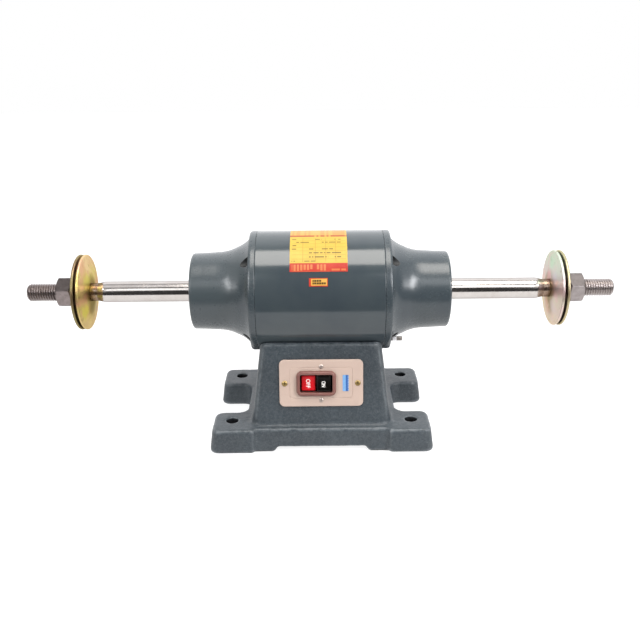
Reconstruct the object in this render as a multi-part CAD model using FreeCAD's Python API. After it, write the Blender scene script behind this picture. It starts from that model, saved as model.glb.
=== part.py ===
import FreeCAD, Part
import math
import os
from FreeCAD import Vector as V

# Bench polishing lathe: a double-shaft induction motor in a tubular shell, carried in the saddle of a
# cast pedestal. Millimetres. +X runs along the spindle to the operator's right, -Y is the front with the
# switch, +Z is up. The origin is on the bench, under the middle of the pedestal.

os.makedirs("parts", exist_ok=True)

# ---- driving dimensions -------------------------------------------------------------------------
AXIS_Z = 132.0            # spindle height over the bench
SHELL_R = 55.0            # motor shell outer radius
SHELL_IN = 52.4           # motor shell bore radius
SHELL_HALF = 57.0         # half length of the shell tube
RIM_X = 63.2              # outer face of an end bell's rim
NOSE_X = 117.1            # end face of a bell's nose
BOLT_R = 48.7             # pitch radius of the through bolts
BOLT_ANGLES = (49.0, 131.0, 229.0, 311.0)
POCKET_R = 4.6            # bolt pocket in the flare
POCKET_C = 47.85          # its own centre, a little inside the bolt circle
POCKET_X = 59.0           # floor of that pocket

SHAFT_R = 9.7             # visible shaft
SEAT_R = 10.0             # bearing seats
CORE_SHAFT_R = 12.0       # under the rotor
NECK_X = 199.5            # where the shaft steps down
NECK_R = 8.3
FLANGE_X = 212.2          # shoulder that carries the inner flange
THREAD_R = 7.94           # major radius of the spindle threads, 5/8 inch
PITCH = 25.4 / 11
TIP_X = 270.8

FLANGE_R = 34.8
FLANGE_T = 2.6
FLANGE_DISH = 3.1
RIM_GAP = 1.9
NUT_AF = 25.4
NUT_X0, NUT_X1 = 229.1, 242.2
WASHER_X0, WASHER_X1 = 225.55, 229.0
FREE_X = 243.0            # the free end of the thread starts here, after one open valley at the nut's face

BEAR_X0, BEAR_X1 = 96.5, 110.5
BEAR_OUT_R = 23.5
BEAR_PITCH_R = 16.75
BALL_R = 3.97
BALLS = 8

BASE_X, BASE_Y = 69.5, 67.8      # half size of the slab under the pedestal
SLAB_Z = 22.7
FOOT_X, FOOT_Y0, FOOT_Y1 = 101.6, 30.0, 72.0
STEP_X = 63.2                    # where a lug's front face starts, outside its step up from the slab
HOLE_X, HOLE_Y, HOLE_R = 82.0, 51.0, 5.5
HOLE_DY = 2.5                    # the bolt pattern sits a little behind the middle
BODY_X0, BODY_Y0 = 63.3, 60.764    # half size of the pedestal body at the slab
BODY_X1, BODY_Y1, BODY_Z1 = 54.4, 46.383, 96.6
ARCH_Z = 5.0
WALL = 6.2
CEIL_Z = 69.5

PLATE_W, PLATE_H, PLATE_T, PLATE_R = 75.2, 42.8, 2.0, 4.6
PLATE_Z = 61.5
BEZEL_W, BEZEL_H, BEZEL_R, BEZEL_T = 35.6, 23.0, 5.0, 3.2
BX, BY = -4.5, -0.1        # the switch sits off the middle of its plate
WIN_W, WIN_H = 29.0, 16.2
TRAVEL = 3.0

EX, EY, EZ = V(1, 0, 0), V(0, 1, 0), V(0, 0, 1)
ORIGIN = V(0, 0, 0)
made = {}


def save(name, shape, solids=None):
    found = [s for s in shape.Solids]
    assert found, name
    for s in found:
        assert s.isValid() and s.Volume > 0, (name, s.isValid(), s.Volume)
    if solids is not None:
        assert len(found) == solids, (name, len(found), solids)
    out = found[0] if len(found) == 1 else Part.makeCompound(found)
    out.exportStep(f"parts/{name}.step")
    made[name] = round(sum(s.Volume for s in found), 1)


def cyl(r, x0, x1, y=0.0, z=AXIS_Z):
    """A cylinder along X."""
    return Part.makeCylinder(r, x1 - x0, V(x0, y, z), EX)


def vcyl(r, z0, z1, x, y):
    return Part.makeCylinder(r, z1 - z0, V(x, y, z0), EZ)


def turned(points, spline=None):
    """Solid of revolution about the spindle axis from a closed (x, r) outline. spline = [(i, j), ...] draws a
    smooth curve through points i to j and straight lines elsewhere."""
    p = [V(x, 0, AXIS_Z + r) for x, r in points]
    curves = dict(spline or [])
    edges, i, n = [], 0, len(p)
    while i < n:
        if i in curves:
            c = Part.BSplineCurve()
            c.interpolate(p[i:curves[i] + 1])
            edges.append(c.toShape())
            i = curves[i]
            continue
        a, b = p[i], p[(i + 1) % n]
        edges.append(Part.LineSegment(a, b).toShape())
        i += 1
    face = Part.Face(Part.Wire(edges))
    s = face.revolve(V(0, 0, AXIS_Z), EX, 360)
    s = s.Solids[0] if s.Solids else Part.Solid(s)
    if s.Volume < 0:
        s.reverse()
    return s


def flip(shape):
    return shape.mirror(ORIGIN, EX)


def around(r, angle):
    """(y, z) on a circle of radius r about the spindle, angle from the front (-Y), upwards."""
    a = math.radians(angle)
    return -r * math.cos(a), AXIS_Z + r * math.sin(a)


def rrect(w, h, r, z=0.0, cx=0.0, cy=0.0):
    """Rounded rectangle wire in the XY plane, centred."""
    a, b = w / 2.0, h / 2.0
    e = []
    k = math.sqrt(0.5) * r

    def P(x, y):
        return V(cx + x, cy + y, z)

    e.append(Part.LineSegment(P(-a + r, -b), P(a - r, -b)).toShape())
    e.append(Part.Arc(P(a - r, -b), P(a - r + k, -b + r - k), P(a, -b + r)).toShape())
    e.append(Part.LineSegment(P(a, -b + r), P(a, b - r)).toShape())
    e.append(Part.Arc(P(a, b - r), P(a - r + k, b - r + k), P(a - r, b)).toShape())
    e.append(Part.LineSegment(P(a - r, b), P(-a + r, b)).toShape())
    e.append(Part.Arc(P(-a + r, b), P(-a + r - k, b - r + k), P(-a, b - r)).toShape())
    e.append(Part.LineSegment(P(-a, b - r), P(-a, -b + r)).toShape())
    e.append(Part.Arc(P(-a, -b + r), P(-a + r - k, -b + r - k), P(-a + r, -b)).toShape())
    return Part.Wire(e)


def prism(w, h, r, z0, z1, cx=0.0, cy=0.0):
    return Part.Face(rrect(w, h, r, z0, cx, cy)).extrude(V(0, 0, z1 - z0))


def loft(w0, w1):
    s = Part.makeLoft([w0, w1], True, True)
    return s.Solids[0]


def fillet(shape, r, test):
    """Rounds the edges that test(edge) picks."""
    edges = [e for e in shape.Edges if test(e)]
    return shape.makeFillet(r, edges)


def pipe(points, r, bends):
    """A round wire along straight runs joined by tangent arcs; bends gives the arc radius at each inner point."""
    pts = [V(*p) for p in points]
    edges, here = [], pts[0]
    for i in range(1, len(pts) - 1):
        a = (pts[i - 1] - pts[i]).normalize()
        b = (pts[i + 1] - pts[i]).normalize()
        half = a.getAngle(b) / 2.0
        t = bends / math.tan(half)
        p, q = pts[i] + a * t, pts[i] + b * t
        bis = (a + b).normalize()
        centre = pts[i] + bis * (bends / math.sin(half))
        m = centre - bis * bends
        edges.append(Part.LineSegment(here, p).toShape())
        edges.append(Part.Arc(p, m, q).toShape())
        here = q
    edges.append(Part.LineSegment(here, pts[-1]).toShape())
    path = Part.Wire(edges)
    start = pts[0]
    ring = Part.Wire([Part.makeCircle(r, start, (pts[1] - pts[0]).normalize())])
    s = path.makePipeShell([ring], True, False)
    s = s.Solids[0] if s.Solids else Part.Solid(s)
    if s.Volume < 0:
        s.reverse()
    return s


# ---- frame of the sloping front face: local x = X, local y up the face, local z out of it ----------
SLOPE = math.atan2(BODY_Y0 - BODY_Y1, BODY_Z1 - SLAB_Z)
PLATE_Y = -(BODY_Y0 - (PLATE_Z - SLAB_Z) * math.tan(SLOPE))
UP = V(0, math.sin(SLOPE), math.cos(SLOPE))
OUT = V(0, -math.cos(SLOPE), math.sin(SLOPE))
FACE = FreeCAD.Matrix(
    1, 0, 0, 0,
    0, UP.y, OUT.y, PLATE_Y,
    0, UP.z, OUT.z, PLATE_Z,
    0, 0, 0, 1,
)


def on_face(shape):
    s = shape.copy()
    s.transformShape(FACE, True)
    return s


# ==== pedestal casting ===========================================================================
body = loft(rrect(2 * BODY_X0, 2 * BODY_Y0, 8.0, SLAB_Z), rrect(2 * BODY_X1, 2 * BODY_Y1, 8.0, BODY_Z1))
body = fillet(body, 3.6, lambda e: all(abs(v.Z - BODY_Z1) < 1e-6 for v in e.Vertexes))


def plan(z, sy, fx, fy0, fy1, rc, web, r1, r2):
    """Outline of the slab with its four lugs. sy is the slab's half depth, fx the lugs' end, fy0 and fy1 their
    inner and outer sides, rc their corners, web the round between a lug and the slab's side, r1 and r2 the two
    arcs of the step between the slab's front and a lug."""
    turn = math.acos(1.0 - (fy1 - sy) / (r1 + r2))
    s, c = math.sin(turn), math.cos(turn)
    sh, ch = math.sin(turn / 2), math.cos(turn / 2)
    k = math.sqrt(0.5)
    x1 = STEP_X - (r1 + r2) * s
    quarter = [
        ((BASE_X, 0.0), None, (BASE_X, fy0 - web)),
        ((BASE_X, fy0 - web), (BASE_X + web - web * k, fy0 - web + web * k), (BASE_X + web, fy0)),
        ((BASE_X + web, fy0), None, (fx - rc, fy0)),
        ((fx - rc, fy0), (fx - rc + rc * k, fy0 + rc - rc * k), (fx, fy0 + rc)),
        ((fx, fy0 + rc), None, (fx, fy1 - rc)),
        ((fx, fy1 - rc), (fx - rc + rc * k, fy1 - rc + rc * k), (fx - rc, fy1)),
        ((fx - rc, fy1), None, (STEP_X, fy1)),
        ((STEP_X, fy1), (STEP_X - r1 * sh, fy1 - r1 + r1 * ch), (STEP_X - r1 * s, fy1 - r1 + r1 * c)),
        ((STEP_X - r1 * s, fy1 - r1 + r1 * c), (x1 + r2 * sh, sy + r2 - r2 * ch), (x1, sy)),
        ((x1, sy), None, (0.0, sy)),
    ]
    edges = []
    for mx, my in ((1, 1), (-1, 1), (-1, -1), (1, -1)):
        rows = quarter if mx * my > 0 else [(q, m, p) for p, m, q in reversed(quarter)]
        for p, m, q in rows:
            a, b = V(mx * p[0], my * p[1], z), V(mx * q[0], my * q[1], z)
            if m is None:
                edges.append(Part.LineSegment(a, b).toShape())
            else:
                edges.append(Part.Arc(a, V(mx * m[0], my * m[1], z), b).toShape())
    return Part.Wire(edges)


slab = loft(plan(0.0, BASE_Y, FOOT_X, FOOT_Y0, FOOT_Y1, 7.5, 10.5, 3.2, 2.6),
            plan(SLAB_Z, BASE_Y - 0.5, FOOT_X - 3.0, FOOT_Y0 + 1.3, FOOT_Y1 - 1.3, 7.5, 10.5, 2.8, 1.8))
slab = fillet(slab, 2.4, lambda e: all(abs(v.Z - SLAB_Z) < 1e-6 for v in e.Vertexes))
slab = fillet(slab, 2.2, lambda e: all(abs(v.Z) < 1e-6 for v in e.Vertexes))
base = slab.fuse(body).removeSplitter()


def at_root(e):
    b = e.BoundBox
    on_top = abs(b.ZMin - SLAB_Z) < 1e-6 and abs(b.ZMax - SLAB_Z) < 1e-6
    inside = b.XMax < BODY_X0 + 0.01 and b.XMin > -BODY_X0 - 0.01 and b.YMax < BODY_Y0 + 0.01 and b.YMin > -BODY_Y0 - 0.01
    return on_top and inside


base = fillet(base, 3.2, at_root)


def inner(z):
    k = (z - SLAB_Z) / (BODY_Z1 - SLAB_Z)
    return BODY_X0 + (BODY_X1 - BODY_X0) * k - WALL, BODY_Y0 + (BODY_Y1 - BODY_Y0) * k - WALL


ix0, iy0 = inner(SLAB_Z)
ix1, iy1 = inner(CEIL_Z)
hollow = prism(2 * ix0, 2 * iy0, 6.0, -1.0, SLAB_Z + 0.5).fuse(loft(rrect(2 * ix0, 2 * iy0, 6.0, SLAB_Z), rrect(2 * ix1, 2 * iy1, 6.0, CEIL_Z)))
ease = ((-43.2, -1.0), (-43.2, 0.0), (-42.4, 0.4), (-41.6, 1.4), (-40.8, 2.9), (-40.0, 4.1), (-39.0, 4.8), (-37.5, ARCH_Z))
arch_pts = [V(x, -90, z) for x, z in ease] + [V(-x, -90, z) for x, z in reversed(ease)]
arch = Part.Face(Part.makePolygon(arch_pts + [arch_pts[0]])).extrude(V(0, 180, 0))
saddle = cyl(SHELL_R + 0.05, -80, 80)
holes = [vcyl(HOLE_R, -1, SLAB_Z + 1, sx * HOLE_X, HOLE_DY + sy * HOLE_Y) for sx in (-1, 1) for sy in (-1, 1)]
STUD_X, STUD_Y = 34.0, 18.0
LEAD_X = -41.0
stud_holes = [vcyl(3.4, CEIL_Z - 1, 100, sx * STUD_X, sy * STUD_Y) for sx in (-1, 1) for sy in (-1, 1)]
lead_hole = vcyl(5.6, CEIL_Z - 1, 100, LEAD_X, 0)
switch_hole = on_face(prism(48.5, 38.0, 3.0, -25.0, 1.0, BX, 0.0))

base = base.cut([hollow, arch, saddle] + holes + stud_holes + [lead_hole, switch_hole])
# corner bosses for the bottom cover, side pads for the switch plate's screws and a flat boss for the cable inlet
COVER_Z = 8.6
BOSS_X, BOSS_Y = 51.0, 49.5
for sx in (-1, 1):
    for sy in (-1, 1):
        base = base.fuse(vcyl(6.5, COVER_Z, 30.0, sx * BOSS_X, sy * BOSS_Y))
INLET_X, INLET_Z = -34.0, 37.0
rear_boss = Part.makeCylinder(11.5, 12.0, V(INLET_X, 48.2, INLET_Z), EY)
base = base.fuse(rear_boss)
base = base.cut([vcyl(1.7, COVER_Z - 1, 22.0, sx * BOSS_X, sy * BOSS_Y) for sx in (-1, 1) for sy in (-1, 1)])
base = base.cut(Part.makeCylinder(6.6, 30.0, V(INLET_X, 40.0, INLET_Z), EY))
PS_X, PS_Y = 32.75, 15.3
base = base.cut([on_face(Part.makeCylinder(1.5, 8.0, V(s * PS_X, 0, -7.0), EZ)) for s in (-1, 1)])
base = base.removeSplitter()
save("pedestal_casting", base, 1)

# bottom cover and its screws
cover = prism(2 * ix0 - 0.8, 2 * iy0 - 0.8, 5.6, COVER_Z - 1.2, COVER_Z)
cover = cover.cut([vcyl(2.0, 0, 20, sx * BOSS_X, sy * BOSS_Y) for sx in (-1, 1) for sy in (-1, 1)])
save("bottom_cover", cover, 1)


def pan_screw(r_head, h_head, r, length, x, y, z):
    """Pan-head screw that points up, its seat at z."""
    head = vcyl(r_head, z - h_head, z, x, y)
    head = head.makeFillet(h_head * 0.45, [e for e in head.Edges if abs(e.BoundBox.ZMax - (z - h_head)) < 1e-6 and e.BoundBox.ZLength < 1e-6])
    return head.fuse(vcyl(r, z - 0.1, z + length, x, y)).removeSplitter().cut(Part.makeBox(2 * r_head, 0.9, 0.8, V(x - r_head, y - 0.45, z - h_head - 0.01)))


save("bottom_cover_screws", Part.makeCompound([pan_screw(3.4, 2.1, 1.65, 11.0, sx * BOSS_X, sy * BOSS_Y, COVER_Z - 1.2).Solids[0] for sx in (-1, 1) for sy in (-1, 1)]), 4)

# ==== motor shell ================================================================================
shell = turned([(-SHELL_HALF, SHELL_IN), (-SHELL_HALF, SHELL_R - 0.45), (-SHELL_HALF + 0.45, SHELL_R), (SHELL_HALF - 0.45, SHELL_R), (SHELL_HALF, SHELL_R - 0.45), (SHELL_HALF, SHELL_IN)])
shell = shell.cut(vcyl(5.6, 60, 100, LEAD_X, 0))
save("motor_shell", shell, 1)

# weld studs under the shell, with washers and nuts inside the pedestal
studs, washers, nuts = [], [], []


def hexagon(af, x, y, z0, z1, turn=0.0):
    r = af / math.sqrt(3)
    p = [V(x + r * math.cos(math.radians(60 * i + turn)), y + r * math.sin(math.radians(60 * i + turn)), z0) for i in range(7)]
    return Part.Face(Part.makePolygon(p)).extrude(V(0, 0, z1 - z0))


for sx in (-1, 1):
    for sy in (-1, 1):
        x, y = sx * STUD_X, sy * STUD_Y
        studs.append(vcyl(3.0, 57.0, 90.0, x, y).cut(cyl(SHELL_R + 0.02, -80, 80)).Solids[0])
        washers.append(vcyl(6.2, CEIL_Z - 1.6, CEIL_Z, x, y).cut(vcyl(3.2, 0, 90, x, y)))
        n = hexagon(10.0, x, y, CEIL_Z - 6.7, CEIL_Z - 1.65).cut(vcyl(3.05, 0, 90, x, y))
        nuts.append(n)
save("shell_weld_studs", Part.makeCompound(studs), 4)
save("stud_washers", Part.makeCompound(washers), 4)
save("stud_nuts", Part.makeCompound(nuts), 4)

# ==== end bells ==================================================================================
RIM = [(SHELL_HALF + 0.35, SHELL_R - 0.05), (60.0, SHELL_R), (61.9, SHELL_R - 0.2), (RIM_X, SHELL_R - 1.0)]
FLARE = [(RIM_X, 50.0), (64.6, 48.3), (66.8, 46.0), (69.6, 43.9), (72.8, 42.0), (76.0, 40.5), (79.0, 39.1), (82.5, 37.8), (87.0, 36.7), (93.0, 36.0)]


def bell(seat_end):
    """Right-hand bell. seat_end is where the bearing bore stops."""
    outline = [(SHELL_HALF, SHELL_R - 0.4)] + RIM + FLARE + [
        (106.0, 35.3), (NOSE_X - 1.8, 35.0), (NOSE_X - 0.6, 34.5), (NOSE_X, 33.4),
        (NOSE_X, 15.5), (113.4, 15.5), (113.4, 11.2), (seat_end, 11.2), (seat_end, BEAR_OUT_R + 0.02), (91.0, BEAR_OUT_R + 0.02),
        (88.0, 27.0), (80.0, 32.0), (64.0, 41.6), (SHELL_HALF - 4.0, 42.2), (SHELL_HALF - 4.0, SHELL_IN - 0.1), (SHELL_HALF, SHELL_IN - 0.1)]
    i = 1 + len(RIM)
    s = turned(outline, [(1, i - 1), (i, i + len(FLARE) - 1)])
    for a in BOLT_ANGLES:
        y, z = around(BOLT_R, a)
        s = s.cut(cyl(2.3, 50, 80, y, z)).cut(cyl(POCKET_R, POCKET_X, 84, *around(POCKET_C, a)))
    return s


right = bell(112.0)
left = flip(bell(BEAR_X1))
save("right_end_bell", right, 1)
save("left_end_bell", left, 1)

# through bolts: cheese heads on the left, washers and nuts on the right
tb, tw, tn = [], [], []
for a in BOLT_ANGLES:
    y, z = around(BOLT_R, a)
    end = 73.8 if a > 300 else 63.9
    head = cyl(3.1, -(POCKET_X + 0.54 + 2.4), -(POCKET_X + 0.54), y, z)
    rod = cyl(2.0, -(POCKET_X + 0.6), end, y, z)
    rod = rod.makeChamfer(0.4, [e for e in rod.Edges if abs(e.BoundBox.XMin - end) < 1e-6])
    slot = Part.makeBox(1.1, 9.0, 0.9, V(-(POCKET_X + 2.95), y - 4.5, z - 0.45))
    tb.append(head.fuse(rod).cut(slot).Solids[0])
    tw.append(cyl(3.6, -(POCKET_X + 0.52), -(POCKET_X + 0.02), y, z).cut(cyl(2.1, -90, 90, y, z)))
    tw.append(cyl(3.6, POCKET_X + 0.02, POCKET_X + 0.52, y, z).cut(cyl(2.1, -90, 90, y, z)))
    r = 6.2 / math.sqrt(3)
    pts = [V(POCKET_X + 0.54, y + r * math.cos(math.radians(60 * i + a)), z + r * math.sin(math.radians(60 * i + a))) for i in range(7)]
    tn.append(Part.Face(Part.makePolygon(pts)).extrude(V(2.8, 0, 0)).cut(cyl(2.03, -90, 90, y, z)))
save("through_bolts", Part.makeCompound(tb), 4)
save("through_bolt_washers", Part.makeCompound(tw), 8)
save("through_bolt_nuts", Part.makeCompound(tn), 4)

# ==== stator =====================================================================================
CORE_HALF, GAP_R = 32.0, 27.6
core = cyl(SHELL_IN - 0.05, -CORE_HALF, CORE_HALF).cut(cyl(GAP_R, -60, 60))
cuts = []
SLOTS = 24
for i in range(SLOTS):
    a = 360.0 / SLOTS * i
    b = Part.makeBox(2 * CORE_HALF + 4, 3.4, 14.0, V(-CORE_HALF - 2, -1.7, AXIS_Z + GAP_R - 1.0))
    b.rotate(V(0, 0, AXIS_Z), EX, a)
    cuts.append(b)
for a in BOLT_ANGLES:
    y, z = around(BOLT_R + 1.5, a)
    cuts.append(cyl(4.6, -60, 60, y, z))
core = core.cut(cuts)
save("stator_core", core, 1)

ring = turned([(33.0, 31.0), (51.5, 31.0), (53.5, 33.5), (53.5, 38.0), (51.0, 41.0), (33.0, 41.0)])
bars = []
for i in range(SLOTS):
    b = Part.makeBox(2 * 36.0, 2.7, 9.0, V(-36.0, -1.35, AXIS_Z + 31.2))
    b.rotate(V(0, 0, AXIS_Z), EX, 360.0 / SLOTS * i)
    bars.append(b)
winding = ring.fuse([flip(ring)] + bars).removeSplitter()
save("stator_winding", winding, 1)

# ==== spindle and rotor ==========================================================================
half = [(0.0, CORE_SHAFT_R), (58.0, CORE_SHAFT_R), (59.0, 11.5), (BEAR_X0 - 0.05, 11.5), (BEAR_X0 - 0.05, SEAT_R - 0.01),
        (111.5, SEAT_R - 0.01), (112.2, SHAFT_R), (NECK_X, SHAFT_R), (NECK_X + 6.2, NECK_R), (FLANGE_X, NECK_R),
        (FLANGE_X, THREAD_R), (FREE_X - 0.7, THREAD_R), (FREE_X - 0.7, THREAD_R - 1.2), (FREE_X, THREAD_R - 1.2),
        (FREE_X, THREAD_R), (TIP_X - 2.0, THREAD_R), (TIP_X, THREAD_R - 1.7)]
outline = [(x, r) for x, r in half] + [(TIP_X, 0.0), (-TIP_X, 0.0)] + [(-x, r) for x, r in reversed(half[1:])]
spindle = turned(outline)
save("spindle", spindle, 1)

rotor = cyl(GAP_R - 0.45, -CORE_HALF, CORE_HALF).cut(cyl(CORE_SHAFT_R + 0.01, -60, 60))
save("rotor_core", rotor, 1)
er = cyl(25.5, CORE_HALF, CORE_HALF + 6.0).cut(cyl(15.0, 0, 60))
vanes = []
for i in range(9):
    b = Part.makeBox(6.5, 2.2, 8.0, V(CORE_HALF + 5.5, -1.1, AXIS_Z + 16.0))
    b.rotate(V(0, 0, AXIS_Z), EX, 40.0 * i)
    vanes.append(b)
er = er.fuse(vanes).removeSplitter()
save("rotor_end_rings", Part.makeCompound([er.Solids[0], flip(er).Solids[0]]), 2)

# ==== bearings ===================================================================================


def bearing():
    mid = (BEAR_X0 + BEAR_X1) / 2
    groove = Part.makeTorus(BEAR_PITCH_R, BALL_R + 0.12, V(mid, 0, AXIS_Z), EX)
    outer = cyl(BEAR_OUT_R, BEAR_X0, BEAR_X1).cut(cyl(19.6, 0, 200)).cut(groove)
    inner_ring = cyl(13.9, BEAR_X0, BEAR_X1).cut(cyl(SEAT_R, 0, 200)).cut(groove)
    balls = []
    for i in range(BALLS):
        y, z = around(BEAR_PITCH_R, 360.0 / BALLS * i)
        balls.append(Part.makeSphere(BALL_R, V(mid, y, z)))
    cage = cyl(18.2, mid - 5.2, mid + 5.2).cut(cyl(15.3, 0, 200))
    for i in range(BALLS):
        y, z = around(BEAR_PITCH_R, 360.0 / BALLS * i)
        cage = cage.cut(Part.makeSphere(BALL_R + 0.15, V(mid, y, z)))
    shields = []
    for x0 in (BEAR_X0 + 0.4, BEAR_X1 - 1.2):
        shields.append(cyl(19.55, x0, x0 + 0.8).cut(cyl(14.3, 0, 200)))
    return outer, inner_ring, balls, cage, shields


outer, inner_ring, balls, cage, shields = bearing()
save("right_bearing_outer_ring", outer, 1)
save("left_bearing_outer_ring", flip(outer), 1)
save("right_bearing_inner_ring", inner_ring, 1)
save("left_bearing_inner_ring", flip(inner_ring), 1)
save("right_bearing_balls", Part.makeCompound(balls), BALLS)
save("left_bearing_balls", Part.makeCompound([flip(b) for b in balls]), BALLS)
save("right_bearing_cage", cage, 1)
save("left_bearing_cage", flip(cage), 1)
save("bearing_shields", Part.makeCompound([s for s in shields] + [flip(s) for s in shields]), 4)

# preload wave washer behind the right-hand bearing
def wave_ring(r, amp, x):
    p = []
    for i in range(36):
        a = math.radians(10.0 * i)
        p.append(V(x + amp * math.cos(3 * a), r * math.cos(a), AXIS_Z + r * math.sin(a)))
    c = Part.BSplineCurve()
    c.interpolate(p, True)
    return c.toShape()


T = 0.5
amp = (112.0 - BEAR_X1 - T) / 2 - 0.06
xm = (112.0 + BEAR_X1) / 2 - T / 2
e1, e2, e3, e4 = wave_ring(18.5, amp, xm), wave_ring(23.2, amp, xm), wave_ring(18.5, amp, xm + T), wave_ring(23.2, amp, xm + T)
faces = [Part.makeRuledSurface(a, b) for a, b in ((e1, e2), (e3, e4), (e1, e3), (e2, e4))]
sh = Part.makeShell([f for s in faces for f in s.Faces])
sh.sewShape()
wave = Part.Solid(sh.Shells[0] if sh.Shells else sh)
if wave.Volume < 0:
    wave.reverse()
save("preload_wave_washer", wave, 1)

# lip seals in the noses
seal = turned([(113.5, 15.4), (117.3, 15.4), (117.3, 12.2), (115.6, 9.95), (115.0, 9.95), (115.0, 12.0), (113.5, 12.0)])
save("right_shaft_seal", seal, 1)
save("left_shaft_seal", flip(seal), 1)

# ==== flanges, spring washers and nuts ===========================================================


def dished(x_rim, sense):
    """A dished flange. x_rim is its rim's contact face; sense is -1 where the dish bulges towards the motor."""
    s, t, d = sense, FLANGE_T, FLANGE_DISH
    p = [(x_rim, FLANGE_R - 1.2), (x_rim + s * 1.1, FLANGE_R), (x_rim + s * (t - 0.8), FLANGE_R), (x_rim + s * t, FLANGE_R - 0.8),
         (x_rim + s * t, 29.5), (x_rim + s * (t + d), 15.0), (x_rim + s * (t + d), 8.2), (x_rim + s * d, 8.2), (x_rim + s * d, 15.4), (x_rim, 29.9)]
    return turned(p)


RIM0 = FLANGE_X + FLANGE_T + FLANGE_DISH
inner_f = dished(RIM0, -1)
outer_f = dished(RIM0 + RIM_GAP, 1)
save("right_inner_flange", inner_f, 1)
save("left_inner_flange", flip(inner_f), 1)
save("right_outer_flange", outer_f, 1)
save("left_outer_flange", flip(outer_f), 1)

spring = cyl(13.6, WASHER_X0, WASHER_X1).cut(cyl(8.3, 0, 300))
gap = Part.makeBox(10.0, 1.4, 12.0, V(WASHER_X0 - 3.0, -0.7, AXIS_Z + 5.0))
gap.rotate(V((WASHER_X0 + WASHER_X1) / 2, 0, AXIS_Z + 11), EZ, 22.0)
gap.rotate(V(0, 0, AXIS_Z), EX, 205.0)
spring = spring.cut(gap)
save("right_spring_washer", spring, 1)
save("left_spring_washer", flip(spring), 1)


def spindle_nut(turn):
    r = NUT_AF / math.sqrt(3)
    pts = [V(NUT_X0, r * math.sin(math.radians(60 * i + turn)), AXIS_Z + r * math.cos(math.radians(60 * i + turn))) for i in range(7)]
    n = Part.Face(Part.makePolygon(pts)).extrude(V(NUT_X1 - NUT_X0, 0, 0))
    c = 1.25
    keep = turned([(NUT_X0, 0), (NUT_X0, NUT_AF / 2 - 0.1), (NUT_X0 + c, r + 0.05), (NUT_X1 - c, r + 0.05), (NUT_X1, NUT_AF / 2 - 0.1), (NUT_X1, 0)])
    n = n.common(keep)
    bore = turned([(NUT_X0 - 1, 0), (NUT_X0 - 1, 9.15), (NUT_X0 + 1.0, THREAD_R + 0.08), (NUT_X1 - 1.0, THREAD_R + 0.08), (NUT_X1 + 1, 9.15), (NUT_X1 + 1, 0)])
    return n.cut(bore)


save("right_nut", spindle_nut(-8.3), 1)
save("left_nut", flip(spindle_nut(-8.3)), 1)

# ==== switch =====================================================================================
plate = prism(PLATE_W, PLATE_H, PLATE_R, 0.0, PLATE_T)
plate = fillet(plate, 0.8, lambda e: all(abs(v.Z - PLATE_T) < 1e-6 for v in e.Vertexes) and e.BoundBox.ZLength < 1e-6)
plate = plate.cut([prism(31.0, 18.4, 1.5, -1, 4, BX, BY), Part.makeCylinder(1.6, 6, V(-PS_X, 0, -1), EZ), Part.makeCylinder(1.6, 6, V(PS_X, 0, -1), EZ),
                   Part.makeCylinder(1.35, 6, V(0, PS_Y, -1), EZ), Part.makeCylinder(1.35, 6, V(0, -PS_Y, -1), EZ)])
save("switch_plate", on_face(plate), 1)

bezel = prism(BEZEL_W, BEZEL_H, BEZEL_R, PLATE_T + 0.02, PLATE_T + BEZEL_T, BX, BY)
bezel = fillet(bezel, 1.6, lambda e: all(abs(v.Z - (PLATE_T + BEZEL_T)) < 1e-6 for v in e.Vertexes) and e.BoundBox.ZLength < 1e-6)
bezel = bezel.fuse(prism(30.8, 18.2, 1.4, -0.5, PLATE_T + 1.0, BX, BY)).cut(prism(WIN_W, WIN_H, 0.8, -3, 9, BX, BY)).removeSplitter()
save("switch_bezel", on_face(bezel), 1)

# moulded housing behind the plate, open at the front where the buttons drop in
HB = -23.0
PIV_DROP = 3.7
ON_TOP, OFF_TOP = PLATE_T + 1.9, PLATE_T + 1.9 - TRAVEL
PIV_Z = (ON_TOP - 11.0 + OFF_TOP - 11.0) / 2 - PIV_DROP
housing = prism(46.0, 36.0, 2.0, HB, -0.6, BX, 0.0)
housing = housing.cut(prism(WIN_W + 0.2, WIN_H + 0.2, 0.6, -19.5, 1.0, BX, BY))
housing = housing.cut([Part.makeCylinder(1.25, 9.0, V(0, s * PS_Y, -8.0), EZ) for s in (-1, 1)])
housing = housing.cut(Part.makeCylinder(1.03, 19.0, V(BX, BY - 9.5, PIV_Z), EY))
save("switch_housing", on_face(housing), 1)

BTN_W, BTN_H, BTN_GAP = 12.4, 14.0, 1.4
def button(sign, top):
    """A press button: a block with a rounded, slightly hollow face. top is the height of its face."""
    cx = BX + sign * (BTN_GAP / 2 + BTN_W / 2)
    b = prism(BTN_W, BTN_H, 0.9, top - 11.0, top, cx, BY)
    b = fillet(b, 0.6, lambda e: all(abs(v.Z - top) < 1e-6 for v in e.Vertexes) and e.BoundBox.ZLength < 1e-6)
    dip = Part.makeCylinder(60.0, BTN_W * 2, V(cx - BTN_W, BY, top - 0.3 + 60.0), EX)
    return b.cut(dip)


save("on_button", on_face(button(1, ON_TOP)), 1)
save("off_button", on_face(button(-1, OFF_TOP)), 1)

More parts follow.
